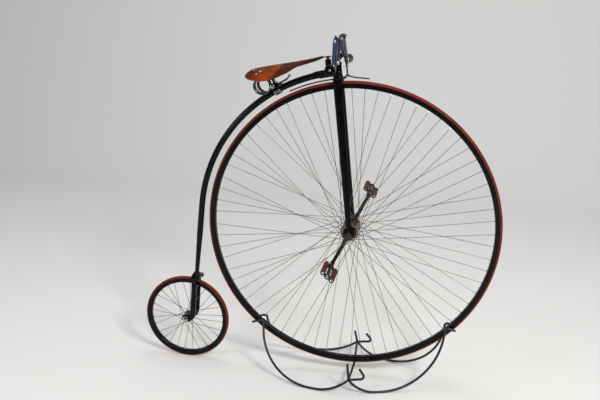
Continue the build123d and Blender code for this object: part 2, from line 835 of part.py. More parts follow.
# Saddle: the rings stand behind the clamp's pin, and the strip runs from the clamp to the neck.
clamp_middle = orbit(clamp_angle, backbone_orbit)
pin_x = clamp_middle[0] - clamp_pin_behind
pin_z = clamp_middle[2] + clamp_pin_above
ring_eye_radius = clamp_pin_radius + fit_gap + ring_dia / 2
ring_x = pin_x - ring_radius - ring_eye_radius
strip_level = stud_top + strip_thick / 2 + fit_gap
strip_seat = steer_point(strip_level, ahead=-boss_behind)
tail = (ring_x - tail_behind, pin_z + tail_above)
nose = (strip_seat[0] - nose_behind, strip_seat[2] - nose_below)
saddle_sections = (
    # share of the way from tail to nose, rise above that line, share of half width, drop of skirt
    (0.0, 0, 0.51, 16),
    (0.1, 13, 0.88, 46),
    (0.26, 12.5, 1.0, 54),
    (0.5, 7, 0.76, 48),
    (0.63, 5, 0.5, 31),
    (0.77, 3, 0.28, 14),
    (1.0, 0, 0.13, 7),
)
with BuildPart() as leather:
    for share, rise, spread, drop in saddle_sections:
        half = saddle_half * spread
        inner = half - leather_thick
        at_x = tail[0] + share * (nose[0] - tail[0])
        at_z = tail[1] + share * (nose[1] - tail[1]) + rise
        with BuildSketch(Plane(origin=(at_x, 0, at_z), x_dir=(0, 1, 0), z_dir=(1, 0, 0))):
            with BuildLine():
                ThreePointArc((-half, -drop), (0, 0), (half, -drop))
                Line((half, -drop), (inner, -drop))
                ThreePointArc((inner, -drop), (0, -leather_thick), (-inner, -drop))
                Line((-inner, -drop), (-half, -drop))
            make_face()
    loft()
save(leather.part, "saddle_leather")

# Strip: a flat bar from the plate, up under the leather's nose and on to the neck's stud.
strip_end = steer_point(strip_level, ahead=-strip_front)
knee = steer_point(strip_level, ahead=-strip_knee)
plate_level = pin_z + ring_radius + ring_dia / 2 + fit_gap
foot_z = plate_level + plate_thick + fit_gap + strip_thick / 2
under_nose = nose[1] - leather_thick - strip_thick / 2 - nose_clearance
strip = flat_bar(
    [
        (ring_x - strip_foot_back, foot_z),
        (ring_x + strip_foot_ahead, foot_z),
        (nose[0] - nose_overlap, under_nose),
        (knee[0], knee[2]),
        (strip_end[0], strip_end[2]),
    ],
    strip_width, strip_thick, list(strip_bends),
)
save(strip, "saddle_strip")

# Ring springs: turns of round wire side by side, with an eye on the clamp's cross pin.
with BuildPart() as rings:
    for side_name, side in sides:
        for turn in range(ring_turns):
            turn_y = side * ring_y + (turn - (ring_turns - 1) / 2) * ring_pitch
            for middle_x, radius in ((ring_x, ring_radius), (pin_x, ring_eye_radius)):
                if radius == ring_radius or turn == ring_turns // 2:
                    with BuildSketch(Plane(origin=(middle_x, turn_y, pin_z), x_dir=(1, 0, 0))):
                        with Locations((radius, 0)):
                            Circle(ring_dia / 2)
                    revolve(axis=Axis((middle_x, turn_y, pin_z), (0, 1, 0)))
save(rings.part, "saddle_rings")

# Clamp round the backbone: a block with a cross pin for the rings, and a horn that turns up in front.
horn_line = (
    # ahead of the clamp's middle, above it
    (8, 29), (40, 48), (56, 68),
)
horn = bent_rod(
    [(clamp_middle[0] + ahead, 0, clamp_middle[2] + above) for ahead, above in horn_line],
    horn_bend, horn_dia / 2,
)
pad_z = clamp_middle[2] + clamp_block_rise
clamp_from = clamp_angle - degrees(clamp_width / 2 / backbone_orbit)
with BuildPart() as clamp:
    with BuildSketch(orbit_plane(clamp_from, backbone_orbit)):
        Circle(backbone_dia / 2 + clamp_wall)
    revolve(axis=wheel_axis, revolution_arc=degrees(clamp_width / backbone_orbit))
    with BuildSketch(side_plane()):
        with Locations((clamp_middle[0], pad_z)):
            Rectangle(
                2 * clamp_block_half, clamp_block_rise - clamp_block_low, align=(Align.CENTER, Align.MAX),
            )
        with Locations((pin_x, pin_z)):
            Circle(clamp_ear_radius)
    extrude(amount=clamp_block_width / 2, both=True)
    add(horn)
    with BuildSketch(across_plane(pin_x, pin_z)):
        Circle(clamp_pin_radius)
    extrude(amount=ring_y + ring_dia, both=True)
    bore_turn = degrees(2 * clamp_block_half / backbone_orbit)
    with BuildSketch(orbit_plane(clamp_angle - bore_turn, backbone_orbit)):
        Circle(backbone_dia / 2 + fit_gap)
    revolve(axis=wheel_axis, revolution_arc=2 * bore_turn, mode=Mode.SUBTRACT)
save(clamp.part, "saddle_clamp")

# Plate across the rings' tops that carries the leather's tail, round at the back.
with BuildPart() as cantle:
    with BuildSketch(Plane(origin=(ring_x, 0, plate_level))):
        with BuildLine():
            ThreePointArc((-plate_arc_from, -plate_half), (-plate_back, 0), (-plate_arc_from, plate_half))
            Polyline(
                (-plate_arc_from, plate_half), (plate_front, plate_half),
                (plate_front, -plate_half), (-plate_arc_from, -plate_half),
            )
        make_face()
    extrude(amount=plate_thick)
save(cantle.part, "saddle_plate")

# Stand: on each side two bent rods cross at the joint of the middle bar. Their inner ends cradle the
# wheel, and their outer ends stand up at the joint as a hook and a prong.
rods = (
    # name, step of the joint outwards, floor point's x, y, cradle corner's x, z, cradle tip's x, z
    ("rear", 0, -128, 192, -389, 247, -447, 225),
    ("front", stand_joint_step, 165, 162, 450, 294, 497, 279),
)
rod_ends = {
    # offsets from the joint: ahead, towards the wheel, up; then the bends that follow
    "rear": (((45, 12, 53), (78, 4, 11)), (hook_bend, joint_bend)),
    "front": (((-11, 25, 65),), (prong_bend,)),
}
rod_r = stand_rod_dia / 2
for side_name, side in sides:
    pieces = []
    for rod_name, step, floor_ahead, floor_y, bend_ahead, bend_z, tip_ahead, tip_z in rods:
        joint = Vector(hub_x + stand_bar_ahead, side * (stand_joint_y + step), stand_joint_z)
        floor = Vector(hub_x + floor_ahead, side * floor_y, rod_r)
        bend = Vector(hub_x + bend_ahead, side * cradle_y, bend_z)
        tip_point = Vector(hub_x + tip_ahead, side * cradle_y, tip_z)
        up = bend - floor
        down = joint - floor
        normal = down.cross(up).normalized()
        along = normal.cross(Vector(0, 0, 1)).normalized()
        if along.dot(up) < 0:
            along = along * -1
        far_corner = floor + along * (up.dot(up) / (2 * up.dot(along)))
        near_corner = floor + along * (down.dot(down) / (2 * down.dot(along)))
        far_turn = radians(along.get_angle(bend - far_corner))
        near_turn = radians((along * -1).get_angle(joint - near_corner))
        far_bend = arc_share * (far_corner - floor).length / tan(far_turn / 2)
        near_bend = arc_share * (near_corner - floor).length / tan(near_turn / 2)
        offsets, end_bends = rod_ends[rod_name]
        ends = [joint + Vector(ahead, -side * inward, above) for ahead, inward, above in offsets]
        pieces.append(bent_rod(
            [*ends, joint, near_corner, far_corner, bend, tip_point],
            [*end_bends, near_bend, far_bend, cradle_bend], rod_r,
        ))
    with BuildPart() as stand_side:
        add(pieces)
    save(stand_side.part, f"stand_side_{side_name}")

# Crossbar: it dips under the front tyre and bows a little ahead there.
sag = Vector(stand_bar_bow, 0, stand_bar_low - stand_joint_z)
bar_turn = atan2(sag.length, stand_joint_y)
bar_overshoot = stand_bar_bend * (1 / cos(bar_turn) - 1)
bar_level = Vector(hub_x + stand_bar_ahead, 0, stand_joint_z)
bar_corner = bar_level + sag.normalized() * (sag.length + bar_overshoot)
bar_end = stand_joint_y - rod_r - stand_bar_gap
crossbar = bent_rod(
    [
        (hub_x + stand_bar_ahead, -bar_end, stand_joint_z),
        bar_corner,
        (hub_x + stand_bar_ahead, bar_end, stand_joint_z),
    ],
    stand_bar_bend, rod_r,
)
save(crossbar, "stand_crossbar")
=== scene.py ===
"""A high-wheel bicycle on its floor stand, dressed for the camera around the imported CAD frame.

Places are metres in the frame's own axes: +X forward, +Y the rider's left, +Z up. Named sizes are
millimetres and degrees, apart from the studio's, which are metres.
"""

from __future__ import annotations

import json
import logging
import math
from dataclasses import dataclass, field
from enum import Enum
from typing import Any, Iterable, Sequence

import bmesh
import bpy
from mathutils import Matrix, Vector

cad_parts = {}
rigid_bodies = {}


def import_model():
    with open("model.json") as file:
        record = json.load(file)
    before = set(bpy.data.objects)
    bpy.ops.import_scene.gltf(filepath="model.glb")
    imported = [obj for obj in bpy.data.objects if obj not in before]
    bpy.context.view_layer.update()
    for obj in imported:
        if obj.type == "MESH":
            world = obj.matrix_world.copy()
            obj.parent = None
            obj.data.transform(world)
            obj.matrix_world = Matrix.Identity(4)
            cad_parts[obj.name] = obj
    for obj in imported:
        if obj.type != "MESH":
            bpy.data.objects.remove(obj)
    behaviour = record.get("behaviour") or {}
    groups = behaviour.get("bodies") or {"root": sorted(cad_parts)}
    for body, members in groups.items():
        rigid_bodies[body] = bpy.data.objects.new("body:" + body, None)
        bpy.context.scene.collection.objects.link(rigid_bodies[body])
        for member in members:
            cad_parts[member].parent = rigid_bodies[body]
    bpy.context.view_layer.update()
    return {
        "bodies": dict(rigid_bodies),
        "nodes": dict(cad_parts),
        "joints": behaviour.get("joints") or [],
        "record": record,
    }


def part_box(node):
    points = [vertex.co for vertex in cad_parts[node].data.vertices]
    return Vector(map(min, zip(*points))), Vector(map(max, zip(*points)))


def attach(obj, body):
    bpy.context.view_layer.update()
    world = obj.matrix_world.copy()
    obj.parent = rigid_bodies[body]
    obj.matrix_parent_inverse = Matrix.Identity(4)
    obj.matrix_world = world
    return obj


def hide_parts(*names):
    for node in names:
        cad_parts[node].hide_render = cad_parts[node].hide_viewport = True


log = logging.getLogger("high_wheel")

MM = 0.001
FORWARD = Vector((1, 0, 0))
LEFT = Vector((0, 1, 0))
UP = Vector((0, 0, 1))
SIDES = (("right", -1), ("left", 1))

Tree = bpy.types.NodeTree
Socket = bpy.types.NodeSocket
Pair = tuple[float, float]
Triple = tuple[float, float, float]
# Pairs of millimetres along an axis and of radius
Profile = Sequence[Pair]
# Pairs of place, 0 to 1, and of an sRGB hex colour or a grey level
Stops = Sequence[tuple[float, Any]]


# Colour and shader nodes


def linear(hex_colour: str) -> tuple[float, float, float, float]:
    """Turns an sRGB hex colour such as "#a0522d" into linear RGBA."""
    channels = [int(hex_colour[i:i + 2], 16) / 255 for i in (1, 3, 5)]
    straight = [c / 12.92 if c <= 0.04045 else ((c + 0.055) / 1.055) ** 2.4 for c in channels]
    return (*straight, 1.0)


def add_node(tree: Tree, kind: str, inputs: dict[Any, Any] | None = None,
             stops: Stops = (), **settings: Any) -> bpy.types.Node:
    """Adds one node with its settings, and fills its inputs with values or links.

    Args:
        tree: The material's or world's node tree.
        kind: Blender's type name of the node.
        inputs: Input name or number to a value, or to the output socket that feeds it.
        stops: Where the node has a colour band, the stops on it.
        settings: Properties of the node itself.

    Returns:
        The new node.
    """
    made = tree.nodes.new(kind)
    for name, value in settings.items():
        setattr(made, name, value)
    for name, value in (inputs or {}).items():
        if isinstance(value, Socket):
            tree.links.new(value, made.inputs[name])
        else:
            made.inputs[name].default_value = value
    if stops:
        band = made.color_ramp.elements
        while len(band) < len(stops):
            band.new(0.5)
        for element, (place, value) in zip(band, stops):
            element.position = place
            element.color = linear(value) if isinstance(value, str) else (value, value, value, 1.0)
    return made


@dataclass(frozen=True)
class Grain:
    """A pattern in a surface, whose patches, pores or streaks have a real size."""

    size: float  # of its features, mm
    detail: float = 2.0  # octaves
    rough: float = 0.5
    stretch: Triple = (1.0, 1.0, 1.0)

    def spread(self, tree: Tree) -> Socket:
        """Spreads the pattern through the piece's own space and returns its value, 0 to 1."""
        place = add_node(tree, "ShaderNodeTexCoord").outputs["Object"]
        moved = add_node(tree, "ShaderNodeMapping", {"Vector": place, "Scale": self.stretch})
        return add_node(tree, "ShaderNodeTexNoise", {
            "Vector": moved.outputs["Vector"], "Scale": 1 / (self.size * MM), "Detail": self.detail,
            "Roughness": self.rough,
        }).outputs["Fac"]


# Finishes


@dataclass(frozen=True)
class Finish:
    """One real surface finish, built once as a material."""

    name: str
    slot: str  # the record's material slot
    colour: str
    metallic: float = 0.0
    roughness: float = 0.5
    patches: Grain = Grain(45.0)  # pattern that the tones follow
    tones: Stops = ((0.0, None), (1.0, None))  # None for the main colour
    relief: Grain | None = None  # fine pattern that stands up
    relief_strength: float = 0.0
    relief_high: float = 0.3  # how high it stands, mm
    wear: Grain | None = None  # pattern that the roughness follows
    wear_span: Pair = (0.0, 1.0)  # its values between which the roughness changes
    wear_change: Pair = (0.0, 0.0)  # what the roughness gains at those two
    gloss: float = 0.5  # specular level; metals keep the default
    coat: float = 0.0
    coat_roughness: float = 0.03

    def tint(self, tree: Tree) -> Socket:
        """Colours the patches and returns the surface's colour."""
        stops = [(place, tone or self.colour) for place, tone in self.tones]
        return add_node(tree, "ShaderNodeValToRGB", {"Fac": self.patches.spread(tree)},
                        stops=stops).outputs["Color"]

    def material(self) -> bpy.types.Material:
        """Returns the finish's material, built at its first use."""
        made = bpy.data.materials.get(self.name)
        if made is not None:
            return made
        made = bpy.data.materials.new(self.name)
        made.use_nodes = True
        tree = made.node_tree
        tree.nodes.clear()
        shader = add_node(tree, "ShaderNodeBsdfPrincipled", {
            "Base Color": linear(self.colour), "Metallic": self.metallic, "Roughness": self.roughness,
            "Specular IOR Level": self.gloss, "Coat Weight": self.coat, "Coat Roughness": self.coat_roughness,
        })
        add_node(tree, "ShaderNodeOutputMaterial", {"Surface": shader.outputs["BSDF"]})
        tree.links.new(self.tint(tree), shader.inputs["Base Color"])
        if self.wear:
            low, high = self.wear_span
            start, end = (self.roughness + change for change in self.wear_change)
            worn = add_node(tree, "ShaderNodeMapRange", {
                "Value": self.wear.spread(tree), "From Min": low, "From Max": high,
                "To Min": start, "To Max": end,
            })
            tree.links.new(worn.outputs["Result"], shader.inputs["Roughness"])
        if self.relief:
            raised = add_node(tree, "ShaderNodeBump", {
                "Height": self.relief.spread(tree), "Strength": self.relief_strength,
                "Distance": self.relief_high * MM,
            })
            tree.links.new(raised.outputs["Normal"], shader.inputs["Normal"])
        return made


@dataclass(frozen=True)
class StoveEnamel(Finish):
    """Stoved black enamel on steel: deep black, a clear and slightly wavy gloss, dulled where dust lies."""

    tones: Stops = ((0.4, None), (0.9, "#0d0e11"))  # the dust is paler
    patches: Grain = Grain(45.0, 5, 0.6)
    wear: Grain = patches
    wear_span: Pair = (0.35, 0.75)
    wear_change: Pair = (0.0, 0.16)
    relief: Grain = Grain(9.0)
    relief_strength: float = 0.05
    relief_high: float = 1.0
    gloss: float = 0.14


@dataclass(frozen=True)
class BrushPaint(Finish):
    """Black brush paint on hot-rolled bar: satin, a little lumpy, scuffed to brown steel in small spots."""

    tones: Stops = ((0.66, None), (0.71, "#4b443d"))  # bare steel in the scuffs
    patches: Grain = Grain(16.0, 6, 0.7)
    wear: Grain = Grain(3.0, 4)
    wear_change: Pair = (-0.08, 0.18)
    relief: Grain = Grain(3.0, 3)
    relief_strength: float = 0.25
    relief_high: float = 0.4


@dataclass(frozen=True)
class SolidRubber(Finish):
    """Vulcanised red rubber: matt, chalky where it has weathered, with grit rubbed into the skin."""

    # grimy, sound and chalky
    tones: Stops = ((0.3, "#43160b"), (0.45, None), (0.62, None), (0.78, "#823415"))
    grit: Grain = Grain(2.2, 3)
    grit_share: float = 0.6
    grit_stops: Stops = ((0.32, 0.55), (0.5, 1.0))
    patches: Grain = Grain(70.0, 6, 0.62)
    relief: Grain = Grain(2.2, 4)
    relief_strength: float = 0.3
    gloss: float = 0.2

    def tint(self, tree: Tree) -> Socket:
        """Rubs the grit into the patches and returns the surface's colour."""
        specks = add_node(tree, "ShaderNodeValToRGB", {"Fac": self.grit.spread(tree)}, stops=self.grit_stops)
        return add_node(tree, "ShaderNodeMix", {
            "Factor": self.grit_share, "A": super().tint(tree), "B": specks.outputs["Color"],
        }, data_type="RGBA", blend_type="MULTIPLY").outputs["Result"]


@dataclass(frozen=True)
class PlatedMetal(Finish):
    """Polished or plated metal: a mirror misted in patches, with hair scratches from wiping."""

    tones: Stops = ((0.45, None), (0.8, "#a89a84"))  # bright, then tarnished
    patches: Grain = Grain(30.0, 5, 0.65)
    wear: Grain = patches
    wear_span: Pair = (0.4, 0.8)
    wear_change: Pair = (0.0, 0.2)
    relief: Grain = Grain(1.6, 2, stretch=(1, 6, 1))
    relief_strength: float = 0.03
    relief_high: float = 0.2


@dataclass(frozen=True)
class WorkedSteel(Finish):
    """Forged and filed steel, oiled and gone dark: soft streaks, brown where the oil has dried."""

    tones: Stops = ((0.35, "#3b2f27"), (0.6, None))  # stained, then clean
    patches: Grain = Grain(20.0, 6, 0.65)
    wear: Grain = Grain(5.0, 4, stretch=(1, 1, 0.25))
    wear_change: Pair = (-0.12, 0.16)
    relief: Grain = wear
    relief_strength: float = 0.12


@dataclass(frozen=True)
class DrawnWire(WorkedSteel):
    """Cold-drawn spoke wire: a grey satin with long faint streaks and a little dull brown."""

    tones: Stops = ((0.35, "#4b4640"), (0.6, None))
    patches: Grain = Grain(32.0, 6, 0.65)
    wear: Grain = Grain(8.0, 4, stretch=(1, 1, 0.25))
    relief: Grain = wear


@dataclass(frozen=True)
class SaddleHide(Finish):
    """Vegetable-tanned ox hide, burnished by use: tan clouds, pores and a wax sheen, with painted shade at
    the tail and past the fold, and a painted shadow on the tongue.
    """

    dark_clouds_and_shade: str = "#1c0905"  # of the darkest clouds, and of the painted shade at the tail and past the fold
    tones: Stops = ((0.3, dark_clouds_and_shade), (0.48, None), (0.7, "#8a3c04"))  # burnt, plain and polished by use
    tongue_painted_shadow: str = "#32110a"  # painted shadow of the handlebar on the narrow front part
    shade_fold_at: float = -1166.4  # where X less the slant's share of Z meets the fold, behind the tongue; painted shade lies ahead of it
    shade_fold_slant: float = -0.7  # how far the fold leans, as a share of Z
    shade_fold_soft: float = 6.0
    # how far the painted shade past the fold darkens the hide
    fold_share: float = 0.86
    tongue_shadow_span: Pair = (-190.0, -80.0)  # X between which the painted shadow on the tongue comes in
    tail_shade_span: Pair = (-324.0, -292.0)  # X between which the painted shade on the tail fades out
    tail_shade_share: float = 0.7
    patches: Grain = Grain(60.0, 5, 0.55)
    relief: Grain = Grain(1.8, 4, 0.6)
    relief_strength: float = 0.22
    gloss: float = 0.06
    coat: float = 0.03
    coat_roughness: float = 0.2

    def tint(self, tree: Tree) -> Socket:
        """Paints shade at the tail and past the slanted fold, and the handlebar's shadow on the tongue, over
        the clouds, and returns the colour.
        """
        place = add_node(tree, "ShaderNodeTexCoord").outputs["Object"]
        axes = add_node(tree, "ShaderNodeSeparateXYZ", {"Vector": place}).outputs
        slanted = add_node(tree, "ShaderNodeMath", {0: axes["Z"], 1: self.shade_fold_slant, 2: axes["X"]},
                           operation="MULTIPLY_ADD").outputs["Value"]
        past_fold_shade, along_tongue_shadow, off_tail_shade = (
            add_node(tree, "ShaderNodeMapRange", {
                "Value": value, "From Min": low * MM, "From Max": high * MM, "To Min": start, "To Max": end,
            }).outputs["Result"]
            for value, low, high, start, end in (
                (slanted, self.shade_fold_at - self.shade_fold_soft, self.shade_fold_at + self.shade_fold_soft, 0.0, self.fold_share),
                (axes["X"], *self.tongue_shadow_span, 0.0, 1.0),
                (axes["X"], *self.tail_shade_span, self.tail_shade_share, 0.0),
            ))
        # painted shade behind the tongue, turning into the handlebar's painted shadow on it
        front = add_node(tree, "ShaderNodeValToRGB", {"Fac": along_tongue_shadow}, stops=(
            (0.0, self.dark_clouds_and_shade), (0.5, self.tongue_painted_shadow), (1.0, self.tongue_painted_shadow),
        )).outputs["Color"]
        tan = super().tint(tree)
        # painted shade at the tail, then painted shade and shadow past the fold
        for share, over in ((off_tail_shade, linear(self.dark_clouds_and_shade)), (past_fold_shade, front)):
            tan = add_node(tree, "ShaderNodeMix", {"Factor": share, "A": tan, "B": over},
                           data_type="RGBA").outputs["Result"]
        return tan


@dataclass(frozen=True)
class TurnedHorn(Finish):
    """Turned and polished black horn: nearly black, with brown streaks along the grain."""

    tones: Stops = ((0.45, None), (0.75, "#26140c"))  # black, then a brown streak
    patches: Grain = Grain(6.0, 5, stretch=(1, 0.15, 1))
    gloss: float = 0.2
    coat: float = 0.1
    coat_roughness: float = 0.1


class Use(Enum):
    """The finishes of the machine by what they are used for."""

    ENAMEL = StoveEnamel("stoved_black_enamel", "black_enamel", "#040507", roughness=0.14)
    STAND = BrushPaint("black_brush_paint", "stand_paint", "#07080a", roughness=0.34)
    TYRE = SolidRubber("vulcanised_red_rubber", "tyre_rubber", "#6c220d", roughness=0.7)
    BLOCK = SolidRubber("moulded_block_rubber", "pedal_rubber", "#5f2312", roughness=0.62,
                        patches=Grain(25.0, 6, 0.62))
    NICKEL = PlatedMetal("polished_nickel_plate", "nickel_plate", "#b9b7b2", 1.0, 0.1)
    # nickel tinted dark blue: a painted reflection of blue sky and dark surroundings
    BAR = PlatedMetal("bar_nickel_painted_sky", "nickel_plate", "#646d7c", 1.0, 0.1,
                      tones=((0.45, None), (0.8, "#40434a")))
    SPRING = PlatedMetal("tempered_spring_steel", "nickel_plate", "#5d6068", 1.0, 0.13,
                         tones=((0.45, None), (0.8, "#37302b")))
    # nickel tinted brown, in patches: a painted reflection of a wooden wall
    HUB_PAINTED_REFLECTION = PlatedMetal("hub_metal_painted_reflection", "nickel_plate", "#8a7464", 1.0, 0.15,
                         tones=((0.45, None), (0.8, "#4a2c1c")))
    STEEL = WorkedSteel("oiled_forged_steel", "dark_steel", "#4d4b49", 1.0, 0.32)
    BLACKED = WorkedSteel("oil_blacked_steel", "dark_steel", "#1f2124", 1.0, 0.3,
                          tones=((0.35, "#0e0e10"), (0.6, None)))
    WIRE = DrawnWire("drawn_spoke_wire", "spoke_steel", "#7d7973", 1.0, 0.3)
    HIDE = SaddleHide("burnished_ox_hide", "saddle_leather", "#632604", roughness=0.42)
    HORN = TurnedHorn("polished_black_horn", "black_horn", "#060403", roughness=0.24)


CAD_FINISHES: dict[Use, tuple[str, ...]] = {
    Use.ENAMEL: ("fork_blade_right", "fork_blade_left", "fork_crown", "handlebar_lug", "neck", "backbone",
                 "rear_fork", "tyre_guard", "front_rim", "rear_rim"),
    Use.STAND: ("stand_side_right", "stand_side_left", "stand_crossbar"),
    Use.TYRE: ("front_tyre", "rear_tyre"),
    Use.BLOCK: ("pedal_rubbers_right", "pedal_rubbers_left"),
    Use.NICKEL: ("rear_axle",),
    Use.BAR: ("handlebar",),
    Use.SPRING: ("saddle_rings", "saddle_clamp"),
    Use.HUB_PAINTED_REFLECTION: ("front_hub", "rear_hub"),
    Use.STEEL: ("crank_right", "crank_left", "pedal_pin_right", "pedal_pin_left", "pedal_frame_right",
                "pedal_frame_left", "front_axle", "brake_spoon", "brake_bracket", "brake_lever", "brake_link",
                "lever_bracket"),
    Use.BLACKED: ("saddle_strip", "saddle_plate", "mounting_step"),
    Use.WIRE: ("front_spokes", "rear_spokes"),
    Use.HIDE: ("saddle_leather",),
    Use.HORN: ("grip_right", "grip_left"),
}


# Places, and the bench on which pieces are made


@dataclass(frozen=True)
class Layout:
    """Places of the machine that its fittings are set by: the joints' are read from the frame."""

    hub: Vector  # middle of the front axle
    rear: Vector  # middle of the rear axle
    steer_up: Vector  # direction of the steering axis, upward
    ahead: Vector  # forward direction square to the steering axis
    bar_height: float = 765.7  # of the handlebar's middle, along the steering axis

    @classmethod
    def of_frame(cls, frame: dict[str, Any]) -> "Layout":
        """Reads the places from the frame's joints.

        Args:
            frame: The loaded frame.

        Returns:
            The layout.
        """
        joints = {joint["name"]: joint for joint in frame["joints"]}
        up = Vector(joints["steering"]["axis"]).normalized()
        return cls(
            hub=Vector(joints["front_wheel_spin"]["pos_m"]),
            rear=Vector(joints["rear_wheel_spin"]["pos_m"]),
            steer_up=up,
            ahead=Vector((up.z, 0.0, -up.x)),
        )

    def steer(self, height: float, ahead: float = 0.0, y: float = 0.0) -> Vector:
        """Point at millimetres along the steering axis from the front hub, ahead of it and to the left."""
        return self.hub + (self.steer_up * height + self.ahead * ahead + LEFT * y) * MM

    def by_bar(self, above: float, ahead: float = 0.0, y: float = 0.0) -> Vector:
        """Point at millimetres above the handlebar's middle, ahead of the steering axis and to the left."""
        return self.steer(self.bar_height + above, ahead, y)


def corners(node: str) -> tuple[Vector, Vector]:
    """Returns the low and the high corner of a CAD node's box."""
    low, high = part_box(node)
    return Vector(low), Vector(high)


def middle(node: str) -> Vector:
    """Returns the middle of a CAD node's box."""
    low, high = corners(node)
    return (low + high) / 2


def circle(centre: Vector, across: Vector, over: Vector, radius: float, steps: int) -> list[Vector]:
    """Sets points round a centre.

    Args:
        centre: The middle.
        across: Unit direction of the first point.
        over: Unit direction a quarter turn on.
        radius: Millimetres.
        steps: How many points.

    Returns:
        The points.
    """
    turns = [math.tau * step / steps for step in range(steps)]
    return [centre + (across * math.cos(t) + over * math.sin(t)) * radius * MM for t in turns]


@dataclass
class Piece:
    """One mesh in the making: closed solids gathered in the frame's own axes."""

    name: str
    use: Use
    body: str  # that it rides on
    mesh: bmesh.types.BMesh = field(default_factory=bmesh.new)

    def skin(self, rings: Sequence[Sequence[Vector]], looped: bool = False) -> None:
        """Joins rings of points into one surface.

        Args:
            rings: Rings of as many points each; a ring of one point is a pole.
            looped: Whether the last ring meets the first.
        """
        made = [[self.mesh.verts.new(point) for point in ring] for ring in rings]
        for low, high in zip(made, made[1:] + made[:1] if looped else made[1:]):
            count = max(len(low), len(high))
            for here in range(count):
                there = (here + 1) % count
                around = (low[here % len(low)], low[there % len(low)],
                          high[there % len(high)], high[here % len(high)])
                face = list(dict.fromkeys(around))
                if len(face) > 2:
                    self.mesh.faces.new(face)

    def lathe(self, at: Vector, axis: Vector, profile: Profile, sides: int,
              looped: bool = False) -> None:
        """Turns a profile round an axis.

        Args:
            at: Where the axis starts.
            axis: Its direction.
            profile: Pairs of millimetres along the axis and of radius.
            sides: Steps round the axis.
            looped: Whether the profile is closed, as a ring's is.
        """
        along = axis.normalized()
        across = along.orthogonal().normalized()
        over = along.cross(across)
        rings = []
        for reach, radius in profile:
            centre = at + along * reach * MM
            rings.append(circle(centre, across, over, radius, sides) if radius else [centre])
        self.skin(rings, looped)

    def band(self, at: Vector, axis: Vector, span: Pair, radii: Pair, chamfer: float,
             sides: int) -> None:
        """Turns a ring round a shaft, with a chamfer on both of its outer edges.

        Args:
            at: Where the shaft's axis starts.
            axis: Its direction.
            span: Millimetres along the axis at which the ring starts and ends.
            radii: Its inner and outer radius, mm.
            chamfer: Size of the chamfers, mm.
            sides: Steps round the axis.
        """
        low, high = span
        bore, top = radii
        self.lathe(at, axis, (
            (low, bore), (low, top - chamfer), (low + chamfer, top), (high - chamfer, top),
            (high, top - chamfer), (high, bore),
        ), sides, looped=True)

    def tube(self, path: Sequence[Vector], radius: float, sides: int, looped: bool = False) -> None:
        """Lays round bar along a path.

        Args:
            path: Points of its middle line.
            radius: Radius of the bar, mm.
            sides: Steps round the bar.
            looped: Whether the bar closes on itself.
        """
        count = len(path)
        side = None
        rings = []
        for here, point in enumerate(path):
            after = path[(here + 1) % count] if looped else path[min(here + 1, count - 1)]
            before = path[here - 1] if looped else path[max(here - 1, 0)]
            run = (after - before).normalized()
            side = run.orthogonal() if side is None else side - run * side.dot(run)
            side.normalize()
            rings.append(circle(point, side, run.cross(side), radius, sides))
        if not looped:
            rings = [[path[0]], *rings, [path[-1]]]
        self.skin(rings, looped)

    def plate(self, at: Vector, across: Vector, up: Vector, outline: Sequence[Pair],
              thick: float) -> None:
        """Cuts a flat plate.

        Args:
            at: Where the outline's origin lies, in the middle of the plate's thickness.
            across: Direction of the outline's first number.
            up: Direction of its second number.
            outline: Corners in millimetres.
            thick: Thickness in millimetres.
        """
        out = across.cross(up).normalized() * thick * MM / 2
        faces = []
        for shift in (-out, out):
            points = [at + (across * a + up * b) * MM + shift for a, b in outline]
            faces.append([self.mesh.verts.new(point) for point in points])
        low, high = faces
        self.mesh.faces.new(list(reversed(low)))
        self.mesh.faces.new(high)
        for here in range(len(low)):
            there = (here + 1) % len(low)
            self.mesh.faces.new((low[here], low[there], high[there], high[here]))

    def build(self, crease: float = 38.0, round_mm: float = 0.0,
              replaces: Sequence[str] = ()) -> bpy.types.Object:
        """Turns the solids into the finished piece and sets it riding.

        Args:
            crease: Degrees from which an edge stays sharp.
            round_mm: Width of the small round on sharp edges.
            replaces: CAD nodes that the piece stands for.

        Returns:
            The new object.
        """
        bmesh.ops.recalc_face_normals(self.mesh, faces=self.mesh.faces)
        data = bpy.data.meshes.new(self.name)
        self.mesh.to_mesh(data)
        self.mesh.free()
        data.shade_smooth()
        data.set_sharp_from_angle(angle=math.radians(crease))
        data.materials.append(self.use.value.material())
        made = bpy.data.objects.new(self.name, data)
        bpy.context.scene.collection.objects.link(made)
        if round_mm:
            rounding = made.modifiers.new("rounding", "BEVEL")
            rounding.width = round_mm * MM
            rounding.segments = 2
            rounding.limit_method = "ANGLE"
            rounding.angle_limit = math.radians(crease)
        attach(made, self.body)
        if replaces:
            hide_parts(*replaces)
        log.info("%s: %d faces on %s", self.name, len(data.polygons), self.body)
        return made


class Head(Enum):
    """Shapes of a bolt's head, by the number of its sides."""

    HEX = 6
    SQUARE = 4
    ROUND = 20


